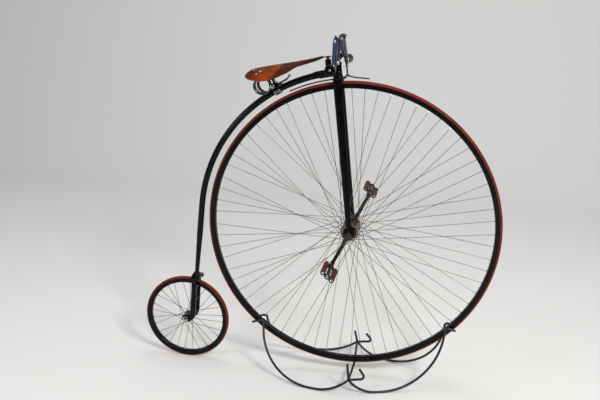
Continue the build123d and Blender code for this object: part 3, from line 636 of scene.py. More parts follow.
@dataclass(frozen=True)
class Bolt:
    """A bolt head or nut on its washer, with the stud's end standing out of it; sizes are mm."""

    head: Head = Head.HEX
    radius: float = 6.0
    height: float = 4.5
    stud: float = 1.5  # how far its end stands out; 0 for a plain head
    sunk: Triple = (0.6, 0.2, 1.0)  # how deep washer, head and stud are let in
    washer: float = 1.0
    edge: Pair = (0.3, 0.4)  # the washer's chamfer, along and inward
    tip: Pair = (0.5, 0.6)  # the stud's chamfer
    shares: Pair = (1.12, 0.48)  # the washer's and the stud's radius against the head's
    crown: float = 0.18
    tops: Pair = (0.82, 0.45)  # the flat top's radius against the head's, cornered and round

    def fit(self, piece: Piece, at: Vector, axis: Vector) -> None:
        """Adds the bolt to a piece.

        Args:
            piece: The piece to add to.
            at: Where the bolt meets the surface.
            axis: The direction that it faces.
        """
        washer_in, head_in, stud_in = self.sunk
        flat, stud = (self.radius * share for share in self.shares)
        rim = (self.washer - self.edge[0], flat), (self.washer, flat - self.edge[1]), (self.washer, 0)
        piece.lathe(at, axis, ((-washer_in, 0), (-washer_in, flat), *rim), sides=20)
        foot, top = self.washer - head_in, self.washer + self.height
        piece.lathe(at, axis, (
            (foot, 0), (foot, self.radius), (top - self.crown * self.height, self.radius),
            (top, self.radius * self.tops[self.head is Head.ROUND]), (top, 0),
        ), self.head.value)
        if self.stud:
            foot, end = top - stud_in, top + self.stud
            piece.lathe(at, axis, (
                (foot, 0), (foot, stud), (end - self.tip[0], stud), (end, stud - self.tip[1]), (end, 0),
            ), sides=14)


@dataclass(frozen=True)
class Coil:
    """Round wire wound into a coil spring."""

    turns: int
    steps: int
    radius: float  # of the wire's middle line
    pitch: float
    wire: float

    def path(self, start: Vector, across: Vector, over: Vector, axis: Vector) -> list[Vector]:
        """Winds the wire's middle line.

        Args:
            start: Middle of the first turn.
            across: Unit direction of the wire's start.
            over: Unit direction a quarter turn on.
            axis: Unit direction in which the turns go on.

        Returns:
            Its points.
        """
        made = []
        for step in range(self.turns * self.steps + 1):
            turn = step / self.steps
            angle = math.tau * turn
            spoke = (across * math.cos(angle) + over * math.sin(angle)) * self.radius
            made.append(start + (spoke + axis * turn * self.pitch) * MM)
        return made


@dataclass
class Fittings:
    """Small parts of one place of the machine."""

    layout: Layout

    def build(self) -> None:
        """Builds the parts as pieces that ride on their bodies."""
        raise NotImplementedError


# Wheels, cranks and pedals


@dataclass
class Lacing:
    """Nipples at the rim and hooked heads at the hub of one wheel's tangent spokes."""

    wheel: str  # its body's name up to "_wheel"
    axle: Vector
    rim_reach: float
    hub_reach: float
    flange_y: float
    per_row: int
    spread: float = 4.0  # half the distance of the rows at the rim
    step: float = 1.6  # distance of the crossing spokes from the flange's middle
    nipple: Profile = ((0, 0), (0, 2.1), (5, 2.1), (9, 1.638), (12, 1.47), (12, 0))
    head: Profile = ((-4.3, 0), (-4, 1.89), (-3.3, 2.7), (3.3, 2.7), (4, 1.89), (4.3, 0))

    def spokes(self) -> Iterable[tuple[Vector, Vector, int]]:
        """Yields each spoke's hub end, rim end and the side it is on."""
        reach = math.degrees(math.acos(self.hub_reach / self.rim_reach))
        pitch = 360 / self.per_row
        for side in (-1, 1):
            for turn in (1, -1):
                start = pitch * (side + 1) / 8 + (0 if turn > 0 else pitch / 2 + 2 * reach)
                for number in range(self.per_row):
                    at_hub = math.radians(start + number * pitch)
                    at_rim = at_hub + turn * math.radians(reach)
                    low, high = (
                        self.axle + Vector((radius * math.cos(angle), side * y + turn * self.step,
                                            radius * math.sin(angle))) * MM
                        for radius, angle, y in ((self.hub_reach, at_hub, self.flange_y),
                                                 (self.rim_reach, at_rim, self.spread)))
                    yield low, high, side

    def build(self) -> None:
        """Builds the nipples as one piece and the heads as another."""
        body = f"{self.wheel}_wheel"
        nipples = Piece(f"{self.wheel}_spoke_nipples", Use.NICKEL, body)
        heads = Piece(f"{self.wheel}_spoke_heads", Use.STEEL, body)
        for low, high, side in self.spokes():
            nipples.lathe(high, low - high, self.nipple, sides=8)
            heads.lathe(low, LEFT * side, self.head, sides=10)
        nipples.build()
        heads.build()


@dataclass
class HubFittings(Fittings):
    """Turned collars and the oiler of the front hub, and the split bearings in which its axle turns."""

    barrel_radius: float = 18.0
    seat: float = 1.0  # how deep the collars and the oiler are let into it
    # distance from the middle, width and height over the barrel
    collars: tuple[Triple, ...] = (
        (-38.0, 5.0, 3.2), (-30.0, 2.4, 1.6), (30.0, 2.4, 1.6), (38.0, 5.0, 3.2),
    )
    collar_chamfer: float = 0.8
    oiler_lean: Triple = (-0.35, 0, 0.94)
    oiler: Profile = (
        (0, 0), (0, 5.5), (2.5, 5.5), (3.5, 4), (7.5, 4), (8.2, 5), (10, 5), (11.4, 3.2), (11.8, 0),
    )
    bearing_y: float = 77.0
    bearing_half: float = 15.0
    cap_radii: Pair = (22.08, 24.0)  # of the cap under the axle, ahead and down
    cap_steps: int = 16
    split: Pair = (1.0, 1.6)  # heights of the two edges of the cap's joint
    rounding: float = 1.2
    ear_reach: float = 27.0  # half the length of the ears that the bolts go through
    ear_height: float = 13.0
    ear_depth: float = 18.0
    ear_chamfer: float = 6.0
    ear_bolt: Bolt = Bolt(Head.HEX, 4.6, 3.6, 1.6)
    ear_nut: Bolt = Bolt(Head.HEX, 4.6, 3.6, 2.2)
    oil_screw: Bolt = Bolt(Head.ROUND, 3.0, 1.6, 0)
    bolt_inset: float = 4.5
    bolt_rise: float = 10.14  # height of the bolts' heads over the axle
    nut_drop: float = 11.7  # depth of the nuts under it
    screw_rise: float = 15.5

    def build(self) -> None:
        """Builds the hub's collars and oiler, then each bearing."""
        rings = Piece("front_hub_collars", Use.HUB_PAINTED_REFLECTION, "front_wheel")
        radius = self.barrel_radius
        for at, width, proud in self.collars:
            rings.band(self.layout.hub, LEFT, (at - width / 2, at + width / 2),
                       (radius - self.seat, radius + proud), self.collar_chamfer, sides=40)
        rings.build()
        cup = Piece("front_hub_oiler", Use.NICKEL, "front_wheel")
        out = Vector(self.oiler_lean).normalized()
        cup.lathe(self.layout.hub + out * (radius - self.seat) * MM, out, self.oiler, sides=18)
        cup.build()
        for name, side in SIDES:
            self.bearing(name, LEFT * side)

    def bearing(self, name: str, out: Vector) -> None:
        """Builds the two halves of one bearing, its bolts and its oil hole's screw.

        Args:
            name: Name of the side.
            out: Direction away from the wheel.
        """
        up, ahead = self.layout.steer_up, self.layout.ahead
        centre = self.layout.hub + out * self.bearing_y * MM
        reach, half = self.ear_reach, self.ear_height / 2
        below, above = self.split
        slope = reach - self.ear_chamfer
        wide, deep = self.cap_radii
        turns = [math.pi * (1 + step / self.cap_steps) for step in range(2, self.cap_steps - 1)]
        bowl = [(wide * math.cos(t), deep * math.sin(t)) for t in turns]
        lower = [(reach, below), (-reach, below), (-reach, -half), *bowl, (reach, -half)]
        upper = [(reach, above), (reach, half), (slope, self.ear_height), (-slope, self.ear_height),
                 (-reach, half), (-reach, above)]
        cap = Piece(f"bearing_cap_{name}", Use.ENAMEL, "fork_and_stand")
        for outline in (lower, upper):
            cap.plate(centre, ahead, up, outline, self.ear_depth)
        cap.build(round_mm=self.rounding)
        bolts = Piece(f"bearing_bolts_{name}", Use.STEEL, "fork_and_stand")
        for end in (-1, 1):
            spot = centre + ahead * end * (reach - self.bolt_inset) * MM
            self.ear_bolt.fit(bolts, spot + up * self.bolt_rise * MM, up)
            self.ear_nut.fit(bolts, spot - up * self.nut_drop * MM, -up)
        self.oil_screw.fit(bolts, centre + (up * self.screw_rise + out * self.bearing_half) * MM, out)
        bolts.build()


@dataclass
class CrankFittings(Fittings):
    """Cotters, axle ends and pedal pin nuts of the two cranks."""

    crank_y: float = 104.0
    crank_half: float = 7.0
    axle_end: float = 113.0
    axle_cap: Profile = ((-2, 0), (-2, 8.7), (0.2, 8.7), (0.9, 7.9), (0.9, 3.4), (-0.2, 2.2), (-0.2, 0))
    washer: Profile = ((-0.2, 8.6), (-0.2, 13.4), (0.8, 13.4), (1.5, 12.6), (1.5, 8.6))
    cotter: Profile = ((0, 0), (0.4, 3.4), (1.4, 4), (34, 3.7), (34, 0))
    cotter_half: float = 20.0  # distance of its head from its middle
    cotter_off: float = 7.8  # distance of the cotter from the axle's middle
    cotter_nut: Bolt = Bolt(Head.HEX, 6.4, 4.6, 3.0)
    nut_reach: float = 14.2  # distance of its nut from its middle
    pin_nut: Bolt = Bolt(Head.HEX, 9.0, 5.0, 2.0)

    def build(self) -> None:
        """Builds the fittings of both cranks."""
        hub = self.layout.hub
        for name, side in SIDES:
            pin = middle(f"pedal_pin_{name}")
            out = LEFT * side
            along = Vector((pin.x - hub.x, 0, pin.z - hub.z)).normalized()
            across = Vector((-along.z, 0, along.x))
            parts = Piece(f"crank_fittings_{name}", Use.STEEL, "front_wheel")
            centre = hub + (out * self.crank_y + along * self.cotter_off) * MM
            parts.lathe(centre - across * self.cotter_half * MM, across, self.cotter, sides=16)
            self.cotter_nut.fit(parts, centre + across * self.nut_reach * MM, across)
            parts.lathe(hub + out * self.axle_end * MM, out, self.axle_cap, sides=32)
            face, back = (out * (self.crank_y + end * self.crank_half) * MM for end in (1, -1))
            parts.lathe(hub + face, out, self.washer, sides=32, looped=True)
            self.pin_nut.fit(parts, Vector((pin.x, 0, pin.z)) + back, -out)
            parts.build()


@dataclass
class PedalFittings(Fittings):
    """Bolts that hold the rubber blocks, the barrel's dust cap and the turned rings of the barrel."""

    half_span: float = 25.0
    tilt: float = -40.0  # angle at which the pedals stand, up toward the front
    inner_y: float = 150.0
    length: float = 118.0  # distance from the inner plate's face to the outer one's
    block_bolt: Bolt = Bolt(Head.HEX, 5.0, 3.4, 1.8)
    block_rivet: Bolt = Bolt(Head.ROUND, 4.6, 2.4, 0)
    dust_cap: Profile = ((0, 6), (0, 7.4), (2.4, 7.2), (4.4, 5.6), (5.4, 3.4), (5.6, 0), (4.6, 0), (4, 5))
    barrel_radius: float = 8.5
    # share of the barrel's length, width and height over it
    rings: tuple[Triple, ...] = (
        (0.045, 7.0, 3.0), (0.13, 2.5, 1.2), (0.5, 3.5, 1.3), (0.87, 2.5, 1.2), (0.955, 7.0, 3.0),
    )
    ring_seat: float = 0.6
    ring_chamfer: float = 0.7

    def build(self) -> None:
        """Builds the fittings of both pedals."""
        lean = math.radians(self.tilt)
        across = Vector((math.cos(lean), 0, math.sin(lean)))
        outer_y = self.inner_y + self.length
        for name, side in SIDES:
            pin = middle(f"pedal_pin_{name}")
            centre = Vector((pin.x, 0, pin.z))
            out = LEFT * side
            bolts = Piece(f"pedal_bolts_{name}", Use.NICKEL, f"pedal_{name}")
            for end in (-1, 1):
                lobe = centre + across * end * self.half_span * MM
                self.block_bolt.fit(bolts, lobe + out * outer_y * MM, out)
                self.block_rivet.fit(bolts, lobe + out * self.inner_y * MM, -out)
            bolts.lathe(centre + out * outer_y * MM, out, self.dust_cap, sides=24, looped=True)
            bolts.build()
            barrel = Piece(f"pedal_barrel_rings_{name}", Use.STEEL, f"pedal_{name}")
            for share, width, proud in self.rings:
                low = self.inner_y + share * self.length - width / 2
                barrel.band(centre, out, (low, low + width),
                            (self.barrel_radius - self.ring_seat, self.barrel_radius + proud),
                            self.ring_chamfer, sides=28)
            barrel.build()


# Head, handlebar and brake


@dataclass
class HeadFittings(Fittings):
    """Bolts, lock nut, rings and beads of the crown, the neck and the handlebar's lug.

    A height is over the hub, or above the bar where it says so, and comes before the distance ahead.
    """

    crown_high: float = 678.5
    crown_bolt: Bolt = Bolt(Head.ROUND, 5.0, 3.0, 0)
    crown_bolt_at: Pair = (12.0, 33.0)  # ahead and behind, and to either side
    pinch_bolt: Bolt = Bolt(Head.HEX, 5.4, 3.8, 1.6)
    pinch_at: Pair = (11.0, 15.0)  # ahead, at the bar's height, and to either side
    lug_bolt: Bolt = Bolt(Head.HEX, 5.4, 4.2, 2.4)
    lug_bolt_at: Pair = (-6.0, -14.0)  # above the bar
    lock_nut_above: float = 11.0
    lock_nut: Profile = (
        (0, 0), (0, 11.4), (2.2, 12), (3, 11), (3, 9), (5.6, 8.2), (7.2, 5.2), (7.6, 0),
    )
    rings: tuple[Pair, ...] = ((742.7, 17.1), (746.5, 15.9))  # height and radius
    ring_span: Pair = (-1.2, 1.4)
    ring_bore: float = 12.5
    ring_chamfer: float = 0.6
    neck_bolt: Bolt = Bolt(Head.ROUND, 5.2, 3.6, 0)
    neck_bolt_high: float = 699.6
    neck_bolt_reach: float = 18.6  # of their seats from the axis
    neck_bolt_lean: float = 0.5  # how far ahead they point, as a share
    strip_nut: Bolt = Bolt(Head.HEX, 7.6, 5.0, 2.2)
    strip_nut_at: Pair = (762.6, -37.0)
    bead_heights: Pair = (684.0, 737.0)
    bead: Profile = ((-3.4, 18), (-3.4, 20.2), (-2, 21.2), (2, 21.2), (3.4, 20.2), (3.4, 18))

    def build(self) -> None:
        """Builds the fittings of the crown and the lug, then those of the neck."""
        place, up, ahead = self.layout.steer, self.layout.steer_up, self.layout.ahead
        bolts = Piece("crown_bolts", Use.STEEL, "fork_and_stand")
        pinch_ahead, pinch_y = self.pinch_at
        along, aside = self.crown_bolt_at
        for side in (-1, 1):
            for end in (1, -1):
                self.crown_bolt.fit(bolts, place(self.crown_high, end * along, side * aside), up)
            self.pinch_bolt.fit(bolts, self.layout.by_bar(0, pinch_ahead, side * pinch_y), LEFT * side)
        self.lug_bolt.fit(bolts, self.layout.by_bar(*self.lug_bolt_at), -ahead)
        bolts.lathe(self.layout.by_bar(self.lock_nut_above), up, self.lock_nut, sides=28)
        bolts.build()
        rings = Piece("head_rings", Use.NICKEL, "fork_and_stand")
        for height, radius in self.rings:
            rings.band(place(height), up, self.ring_span, (self.ring_bore, radius),
                       self.ring_chamfer, sides=36)
        rings.build()
        bolts = Piece("neck_bolts", Use.STEEL, "frame")
        for side in (-1, 1):
            out = (LEFT * side + ahead * self.neck_bolt_lean).normalized()
            self.neck_bolt.fit(bolts, place(self.neck_bolt_high) + out * self.neck_bolt_reach * MM, out)
        self.strip_nut.fit(bolts, place(*self.strip_nut_at), up)
        bolts.build()
        beads = Piece("neck_beads", Use.ENAMEL, "frame")
        for height in self.bead_heights:
            beads.lathe(place(height), up, self.bead, sides=40, looped=True)
        beads.build()


@dataclass
class Handlebar(Fittings):
    """Turned horn grips with their end screws, the ferrules, and the clips on the bar's humps.

    A place is above the bar's middle, ahead of the steering axis and out to the side.
    """

    bar_radius: float = 9.5
    end: Triple = (-31.0, 14.0, 325.0)
    bend: Triple = (-44.0, 14.0, 218.0)
    hump: Pair = (20.0, 118.0)  # ahead and out
    hump_drop: float = 2.2  # from the hump's top to the clips' middle
    cap: float = 3.0  # how far the grip stands out past the bar's end
    horn: Profile = (  # from the dished end with its rings inward
        (1.6, 0), (1.6, 5), (0.5, 5.6), (0.5, 9.2), (1.8, 9.9), (1.8, 10.7), (0.3, 11.5), (0.3, 15.2),
        (1.4, 16), (1, 17.2), (1.8, 19.2), (4, 21.2), (9, 21.5), (10.2, 20.7), (11.4, 21.5), (15, 21),
        (24, 18.8), (34, 16.2), (44, 14.3), (56, 12.9), (66, 12.3), (68, 13.4), (72, 13.4), (73.4, 12.2),
        (76, 11.8), (76, 9.7),
    )
    screw: Profile = ((1.7, 0), (0.7, 2.6), (0.2, 3.9), (0.9, 4.6), (1.7, 4.6))
    ferrule: Profile = ((76, 9), (76, 11.6), (77, 12.2), (80, 12.2), (81, 11.4), (82, 10.1), (82, 9))
    clip_span: Pair = (-6.0, 6.0)
    clip_radii: Pair = (8.5, 11.7)
    clip_chamfer: float = 0.8
    clip_screw: Bolt = Bolt(Head.HEX, 5.4, 4.0, 3.5)
    screw_rise: float = 11.3
    teeth: tuple[float, ...] = (140.0, 105.0, 70.0, 35.0)  # angles of the far clip's knobs
    tooth_rise: float = 11.1
    tooth: Profile = ((0, 0), (0, 3.6), (3.4, 3.4), (4.2, 4.6), (7.4, 4.4), (8.6, 2.6), (8.9, 0))

    def build(self) -> None:
        """Builds both ends of the handlebar and the clips on its humps."""
        for name, side in SIDES:
            end, bend = (self.layout.by_bar(above, ahead, side * out)
                         for above, ahead, out in (self.end, self.bend))
            inward = (bend - end).normalized()
            start = end - inward * self.cap * MM
            horn = Piece(f"horn_grip_{name}", Use.HORN, "fork_and_stand")
            horn.lathe(start, inward, self.horn, sides=48)
            horn.build(crease=50, replaces=(f"grip_{name}",))
            metal = Piece(f"grip_ferrule_{name}", Use.NICKEL, "fork_and_stand")
            metal.lathe(start, inward, self.screw, sides=20)
            metal.lathe(start, inward, self.ferrule, sides=32, looped=True)
            metal.build()
        self.clips()

    def clips(self) -> None:
        """Builds the band and screw on the right hump, and the knobbed clamp on the left one."""
        clips = Piece("bar_clips", Use.STEEL, "fork_and_stand")
        up, hub = self.layout.steer_up, self.layout.hub
        _, high = corners("handlebar")
        rise = (high.z - hub.z) / MM
        height = (rise - self.bar_radius) / up.z - self.hump_drop
        ahead, out = self.hump
        near, far = (self.layout.steer(height, ahead, side * out) for _, side in SIDES)
        for spot in (near, far):
            clips.band(spot, LEFT, self.clip_span, self.clip_radii, self.clip_chamfer, sides=32)
        self.clip_screw.fit(clips, near + up * self.screw_rise * MM, up)
        for angle in self.teeth:
            turn = math.radians(angle)
            away = self.layout.ahead * math.cos(turn) + up * math.sin(turn)
            clips.lathe(far + away * self.tooth_rise * MM, away, self.tooth, sides=14)
        clips.build()


@dataclass
class BrakeFittings(Fittings):
    """Pins of the brake's link and spoon, the lever's round tip and its return spring.

    A place is above the bar, ahead of the steering axis and to the left; a pin's height is over the hub.
    """

    linkage_ahead: float = 41.0
    spoon_pin: Bolt = Bolt(Head.ROUND, 5.2, 2.6, 0)
    spoon_pin_at: Pair = (682.5, 16.0)  # height, and to either side
    link_head: Bolt = Bolt(Head.ROUND, 4.4, 2.2, 0)
    link_nut: Bolt = Bolt(Head.HEX, 4.4, 2.8, 1.2)
    link_pin_high: float = 719.6
    link_pin_ends: Pair = (-4.6, 8.6)  # its head and its nut, to the left
    tip_at: Triple = (-12.0, 36.0, -236.0)
    tip_radius: float = 7.4
    spring: Coil = Coil(turns=5, steps=20, radius=6.6, pitch=2.6, wire=1.1)
    spring_from: Triple = (6.0, 36.0, -24.0)
    spring_end: Triple = (-6.0, 44.0, -38.0)

    def build(self) -> None:
        """Builds the pins' heads, the lever's tip and the return spring."""
        pins = Piece("brake_pins", Use.NICKEL, "fork_and_stand")
        place = self.layout.steer
        spoon_high, spoon_y = self.spoon_pin_at
        for side in (-1, 1):
            self.spoon_pin.fit(pins, place(spoon_high, self.linkage_ahead, side * spoon_y), LEFT * side)
        head_y, nut_y = self.link_pin_ends
        self.link_head.fit(pins, place(self.link_pin_high, self.linkage_ahead, head_y), -LEFT)
        self.link_nut.fit(pins, place(self.link_pin_high, self.linkage_ahead, nut_y), LEFT)
        angles = [math.radians(angle) for angle in range(-72, 73, 18)]
        ball = [(self.tip_radius * math.sin(t), self.tip_radius * math.cos(t)) for t in angles]
        ball = [(-self.tip_radius, 0), *ball, (self.tip_radius, 0)]
        pins.lathe(self.layout.by_bar(*self.tip_at), -LEFT, ball, sides=24)
        pins.build()
        start, end = (self.layout.by_bar(*place) for place in (self.spring_from, self.spring_end))
        path = self.spring.path(start, self.layout.ahead, self.layout.steer_up, -LEFT)
        spring = Piece("brake_return_spring", Use.SPRING, "fork_and_stand")
        spring.tube([*path, end], self.spring.wire, sides=8)
        spring.build()


# Saddle


@dataclass(frozen=True)
class Section:
    """One cross-section of the saddle's leather."""

    share: float  # how far it stands from the tail to the nose, 0 to 1
    rise: float  # height over the straight line between them
    half: float
    drop: float  # how far its skirt hangs


@dataclass
class Saddle(Fittings):
    """The moulded hide of the saddle with its rolled edge, its fold and its rivets."""

    thick: float = 4.6
    edge_thick: float = 0.7  # share of it that the hide keeps on its ridge
    stations: int = 56  # steps from the tail to the nose
    across: int = 28
    tail_above: float = 46.5
    nose_ahead: float = 24.0  # how far the hide runs on past the CAD leather's nose, over the strip
    nose_above: float = 10.6
    sections: tuple[Section, ...] = (
        Section(0.0, 0, 37, 11), Section(0.033, 6.5, 62, 22), Section(0.093, 12.5, 85, 39),
        Section(0.242, 12, 97, 55), Section(0.372, 9.5, 88, 58), Section(0.483, 6.5, 72, 49),
        Section(0.585, 4, 50, 34), Section(0.715, 1.5, 28, 18), Section(0.836, 0, 18, 14),
        Section(1.0, 0, 14, 11),
    )
    fold_share: float = 0.464  # where the flanks are drawn in, from the tail to the nose
    fold_width: float = 0.07
    fold_depth: float = 5.0
    flank_from: float = 0.62  # share of the half width from which the flanks start
    # place of each rivet, from tail to nose and from ridge to edge
    rivets: tuple[Pair, ...] = ((0.1235, 0.36), (0.221, 0.53), (0.1765, 0.67))
    rivet: Profile = ((0, 0), (0, 4.6), (0.9, 4.4), (1.7, 3.2), (2.1, 1.4), (2.2, 0))
    rivet_sunk: float = 0.4
    probe: Pair = (0.01, 0.03)  # steps along and across over which the hide's slope is taken
    tail: Vector = field(init=False)
    nose: Vector = field(init=False)

    def __post_init__(self) -> None:
        """Takes the ridge's tail and nose from the boxes of the CAD leather and springs."""
        low, high = corners("saddle_leather")
        self.tail = Vector((low.x, 0, middle("saddle_rings").z + self.tail_above * MM))
        self.nose = Vector((high.x + self.nose_ahead * MM, 0, high.z + self.nose_above * MM))

    def section_at(self, share: float) -> Section:
        """Blends the sections smoothly.

        Args:
            share: How far from the tail to the nose.

        Returns:
            The section there.
        """
        table = self.sections
        last = len(table) - 2
        here = next((i for i in range(last + 1) if share <= table[i + 1].share), last)
        before, low, high, after = (table[min(max(i, 0), last + 1)] for i in range(here - 1, here + 3))
        span = high.share - low.share
        t = (share - low.share) / span
        values = []
        for key in ("rise", "half", "drop"):
            a, b, c, d = (getattr(item, key) for item in (before, low, high, after))
            enter = (c - a) / (high.share - before.share) * span
            leave = (d - b) / (after.share - low.share) * span
            values.append(
                (2 * t ** 3 - 3 * t ** 2 + 1) * b + (t ** 3 - 2 * t ** 2 + t) * enter
                + (3 * t ** 2 - 2 * t ** 3) * c + (t ** 3 - t ** 2) * leave)
        return Section(share, *values)

    def point(self, share: float, turn: float, inset: float = 0.0) -> Vector:
        """Point on the hide.

        Args:
            share: How far from the tail to the nose.
            turn: -1 at the right edge, 0 on the ridge, 1 at the left edge.
            inset: Millimetres in from the outer face.

        Returns:
            The point in the frame's metres.
        """
        cut = self.section_at(share)
        half, drop = cut.half - inset, cut.drop
        bow = (half * half + drop * drop) / (2 * drop)
        angle = turn * math.atan2(half, bow - drop)
        z = -bow * (1 - math.cos(angle)) - inset * self.edge_thick * math.cos(angle)
        flank = max(abs(turn) - self.flank_from, 0) / (1 - self.flank_from)
        nearness = math.exp(-((share - self.fold_share) / self.fold_width) ** 2)
        y = bow * math.sin(angle) - math.copysign(nearness * self.fold_depth * flank, turn)
        return self.tail.lerp(self.nose, share) + Vector((0, y, cut.rise + z)) * MM

    def build(self) -> None:
        """Builds the hide as one closed skin with a rolled edge, and the rivets on its tail."""
        turns = [-1 + 2 * i / self.across for i in range(self.across + 1)]
        rings = []
        for step in range(self.stations + 1):
            share = step / self.stations
            rings.append([self.point(share, t) for t in turns]
                         + [self.point(share, t, self.thick) for t in reversed(turns)])
        ends = [[sum(ring, Vector()) / len(ring)] for ring in (rings[0], rings[-1])]
        leather = Piece("saddle_hide", Use.HIDE, "frame")
        leather.skin([ends[0], *rings, ends[1]])
        made = leather.build(crease=60, replaces=("saddle_leather",))
        soft = made.modifiers.new("rolled_edge", "SUBSURF")
        soft.levels = soft.render_levels = 1
        studs = Piece("saddle_rivets", Use.NICKEL, "frame")
        for side in (-1, 1):
            for share, turn in self.rivets:
                at = self.point(share, side * turn)
                step, lean = self.probe
                along = self.point(share + step, side * turn) - self.point(share - step, side * turn)
                over = self.point(share, side * (turn + lean)) - self.point(share, side * (turn - lean))
                out = along.cross(over).normalized() * side
                studs.lathe(at - out * self.rivet_sunk * MM, out, self.rivet, sides=20)
        studs.build()


@dataclass
class SaddleSprings(Fittings):
    """The two coil springs under the saddle, the clamp's bolts and beads, and the strip's bolts."""

    coil: Coil = Coil(turns=4, steps=40, radius=36.0, pitch=8.4, wire=3.75)
    coil_y: float = 52.0
    eye_radius: float = 8.85
    eye_y: float = 45.0
    eye_steps: int = 24
    clamp_at: Pair = (119.7, 700.0)  # angle and distance from the front hub
    clamp_bolt: Bolt = Bolt(Head.SQUARE, 5.2, 4.2, 2.0)
    clamp_bolt_at: Triple = (27.0, 7.0, 7.5)  # out, along the backbone and to either side
    bead_off: float = 12.2
    bead_span: Pair = (-1.6, 1.6)
    bead_radii: Pair = (18.5, 22.0)
    bead_chamfer: float = 0.6
    pin_head: Bolt = Bolt(Head.HEX, 7.0, 3.2, 0)
    pin_at: Triple = (-14.3, 52.3, 19.5)  # the springs' pin, from the clamp's middle
    horn_tip: Triple = (56.0, 0.0, 68.0)  # from there
    horn_lean: Triple = (16.0, 0.0, 20.0)
    horn_cap_below: float = 13.0  # length of the horn that its cap covers
    horn_cap: Profile = ((0, 0), (0, 4.6), (1.2, 5.4), (10.5, 5.4), (13.2, 3.6), (14, 0))
    strip_bolt: Bolt = Bolt(Head.ROUND, 3.6, 1.6, 0)
    strip_bolt_off: Pair = (8.8, 5.0)  # along and to either side
    strip_bolt_above: float = 4.1

    def build(self) -> None:
        """Builds the springs, the clamp's small parts and the strip's bolts."""
        self.springs()
        self.clamp()
        low, high = corners("saddle_plate")
        foot = Vector(((low.x + high.x) / 2, 0, high.z)) + UP * self.strip_bolt_above * MM
        along, aside = self.strip_bolt_off
        tail = Piece("saddle_strip_bolts", Use.STEEL, "frame")
        for x in (-along, along):
            for y in (-aside, aside):
                self.strip_bolt.fit(tail, foot + (FORWARD * x + LEFT * y) * MM, UP)
        tail.build()

    def springs(self) -> None:
        """Builds each coil spring as wire wound in true turns, with the eye that holds it to the clamp."""
        low, _ = corners("saddle_rings")
        coil = self.coil
        centre = Vector((low.x + (coil.radius + coil.wire) * MM, 0, middle("saddle_rings").z))
        pin = centre + FORWARD * (coil.radius + self.eye_radius) * MM
        coils = Piece("saddle_springs", Use.SPRING, "frame")
        for side in (-1, 1):
            out = LEFT * side
            path = coil.path(centre + out * self.coil_y * MM, FORWARD, UP, -out)
            coils.tube(path, coil.wire, sides=14)
            eye = circle(pin + out * self.eye_y * MM, FORWARD, UP, self.eye_radius, self.eye_steps)
            coils.tube(eye, coil.wire, sides=14, looped=True)
        coils.build(replaces=("saddle_rings",))

    def clamp(self) -> None:
        """Builds the clamp's bolts, its turned beads round the backbone and the horn's bright cap."""
        angle, distance = self.clamp_at
        turn = math.radians(angle)
        out = FORWARD * math.cos(turn) + UP * math.sin(turn)
        run = Vector((out.z, 0, -out.x))
        centre = self.layout.hub + out * distance * MM
        bolts = Piece("saddle_clamp_bolts", Use.NICKEL, "frame")
        proud, along, aside = self.clamp_bolt_at
        for side in (-1, 1):
            for end in (-1, 1):
                spot = centre + (out * proud + run * end * along + LEFT * side * aside) * MM
                self.clamp_bolt.fit(bolts, spot, out)
        for end in (-1, 1):
            bolts.band(centre + run * end * self.bead_off * MM, run, self.bead_span, self.bead_radii,
                       self.bead_chamfer, sides=40)
        x, y, z = self.pin_at
        for side in (-1, 1):
            self.pin_head.fit(bolts, centre + Vector((x, side * y, z)) * MM, LEFT * side)
        reach = Vector(self.horn_lean).normalized()
        foot = centre + (Vector(self.horn_tip) - reach * self.horn_cap_below) * MM
        bolts.lathe(foot, reach, self.horn_cap, sides=20)
        bolts.build()


# Rear end and stand


@dataclass
class RearFittings(Fittings):
    """Washers and turned ends of the rear axle, the collar on the rear fork and the step's studs."""

    washer: Profile = ((34.6, 4), (34.6, 12.6), (36.2, 12.6), (36.8, 12), (36.8, 4))
    axle_tip: Profile = ((50, 0), (50, 5.3), (52.2, 5.3), (52.9, 4.3), (53, 0))
    # radius and number of the studs in each ring on the step's face
    stud_rings: tuple[tuple[float, int], ...] = ((0.0, 1), (4.2, 6), (8.4, 12))
    stud: Profile = ((0, 0), (0, 1.5), (1, 1.1), (1.5, 0))
    stud_sunk: float = 0.4
    collar_ahead: float = 52.0
    collar_below: float = 1.5
    collar_lean: float = 5.2  # angle of the backbone's foot from upright
    collar: Profile = ((-2.5, 8.6), (-2.5, 11.2), (-1.2, 12.2), (1.4, 12.2), (2.6, 11.2), (2.6, 8.6))

    def build(self) -> None:
        """Builds the axle's small parts, the step's studs and the fork's collar."""
        parts = Piece("rear_axle_fittings", Use.NICKEL, "frame")
        for _, side in SIDES:
            parts.lathe(self.layout.rear, LEFT * side, self.washer, sides=32, looped=True)
            parts.lathe(self.layout.rear, LEFT * side, self.axle_tip, sides=20)
        parts.build()
        _, high = corners("mounting_step")
        face = middle("mounting_step")
        face.y = high.y - self.stud_sunk * MM
        studs = Piece("step_studs", Use.STEEL, "frame")
        for radius, count in self.stud_rings:
            for spot in circle(face, FORWARD, UP, radius, count):
                studs.lathe(spot, LEFT, self.stud, sides=6)
        studs.build()
        _, fork_top = corners("rear_fork")
        lean = math.radians(self.collar_lean)
        foot = Vector((self.layout.rear.x + self.collar_ahead * MM, 0, fork_top.z - self.collar_below * MM))
        collar = Piece("rear_fork_collar", Use.ENAMEL, "frame")
        collar.lathe(foot, Vector((math.sin(lean), 0, math.cos(lean))), self.collar, sides=32, looped=True)
        collar.build()


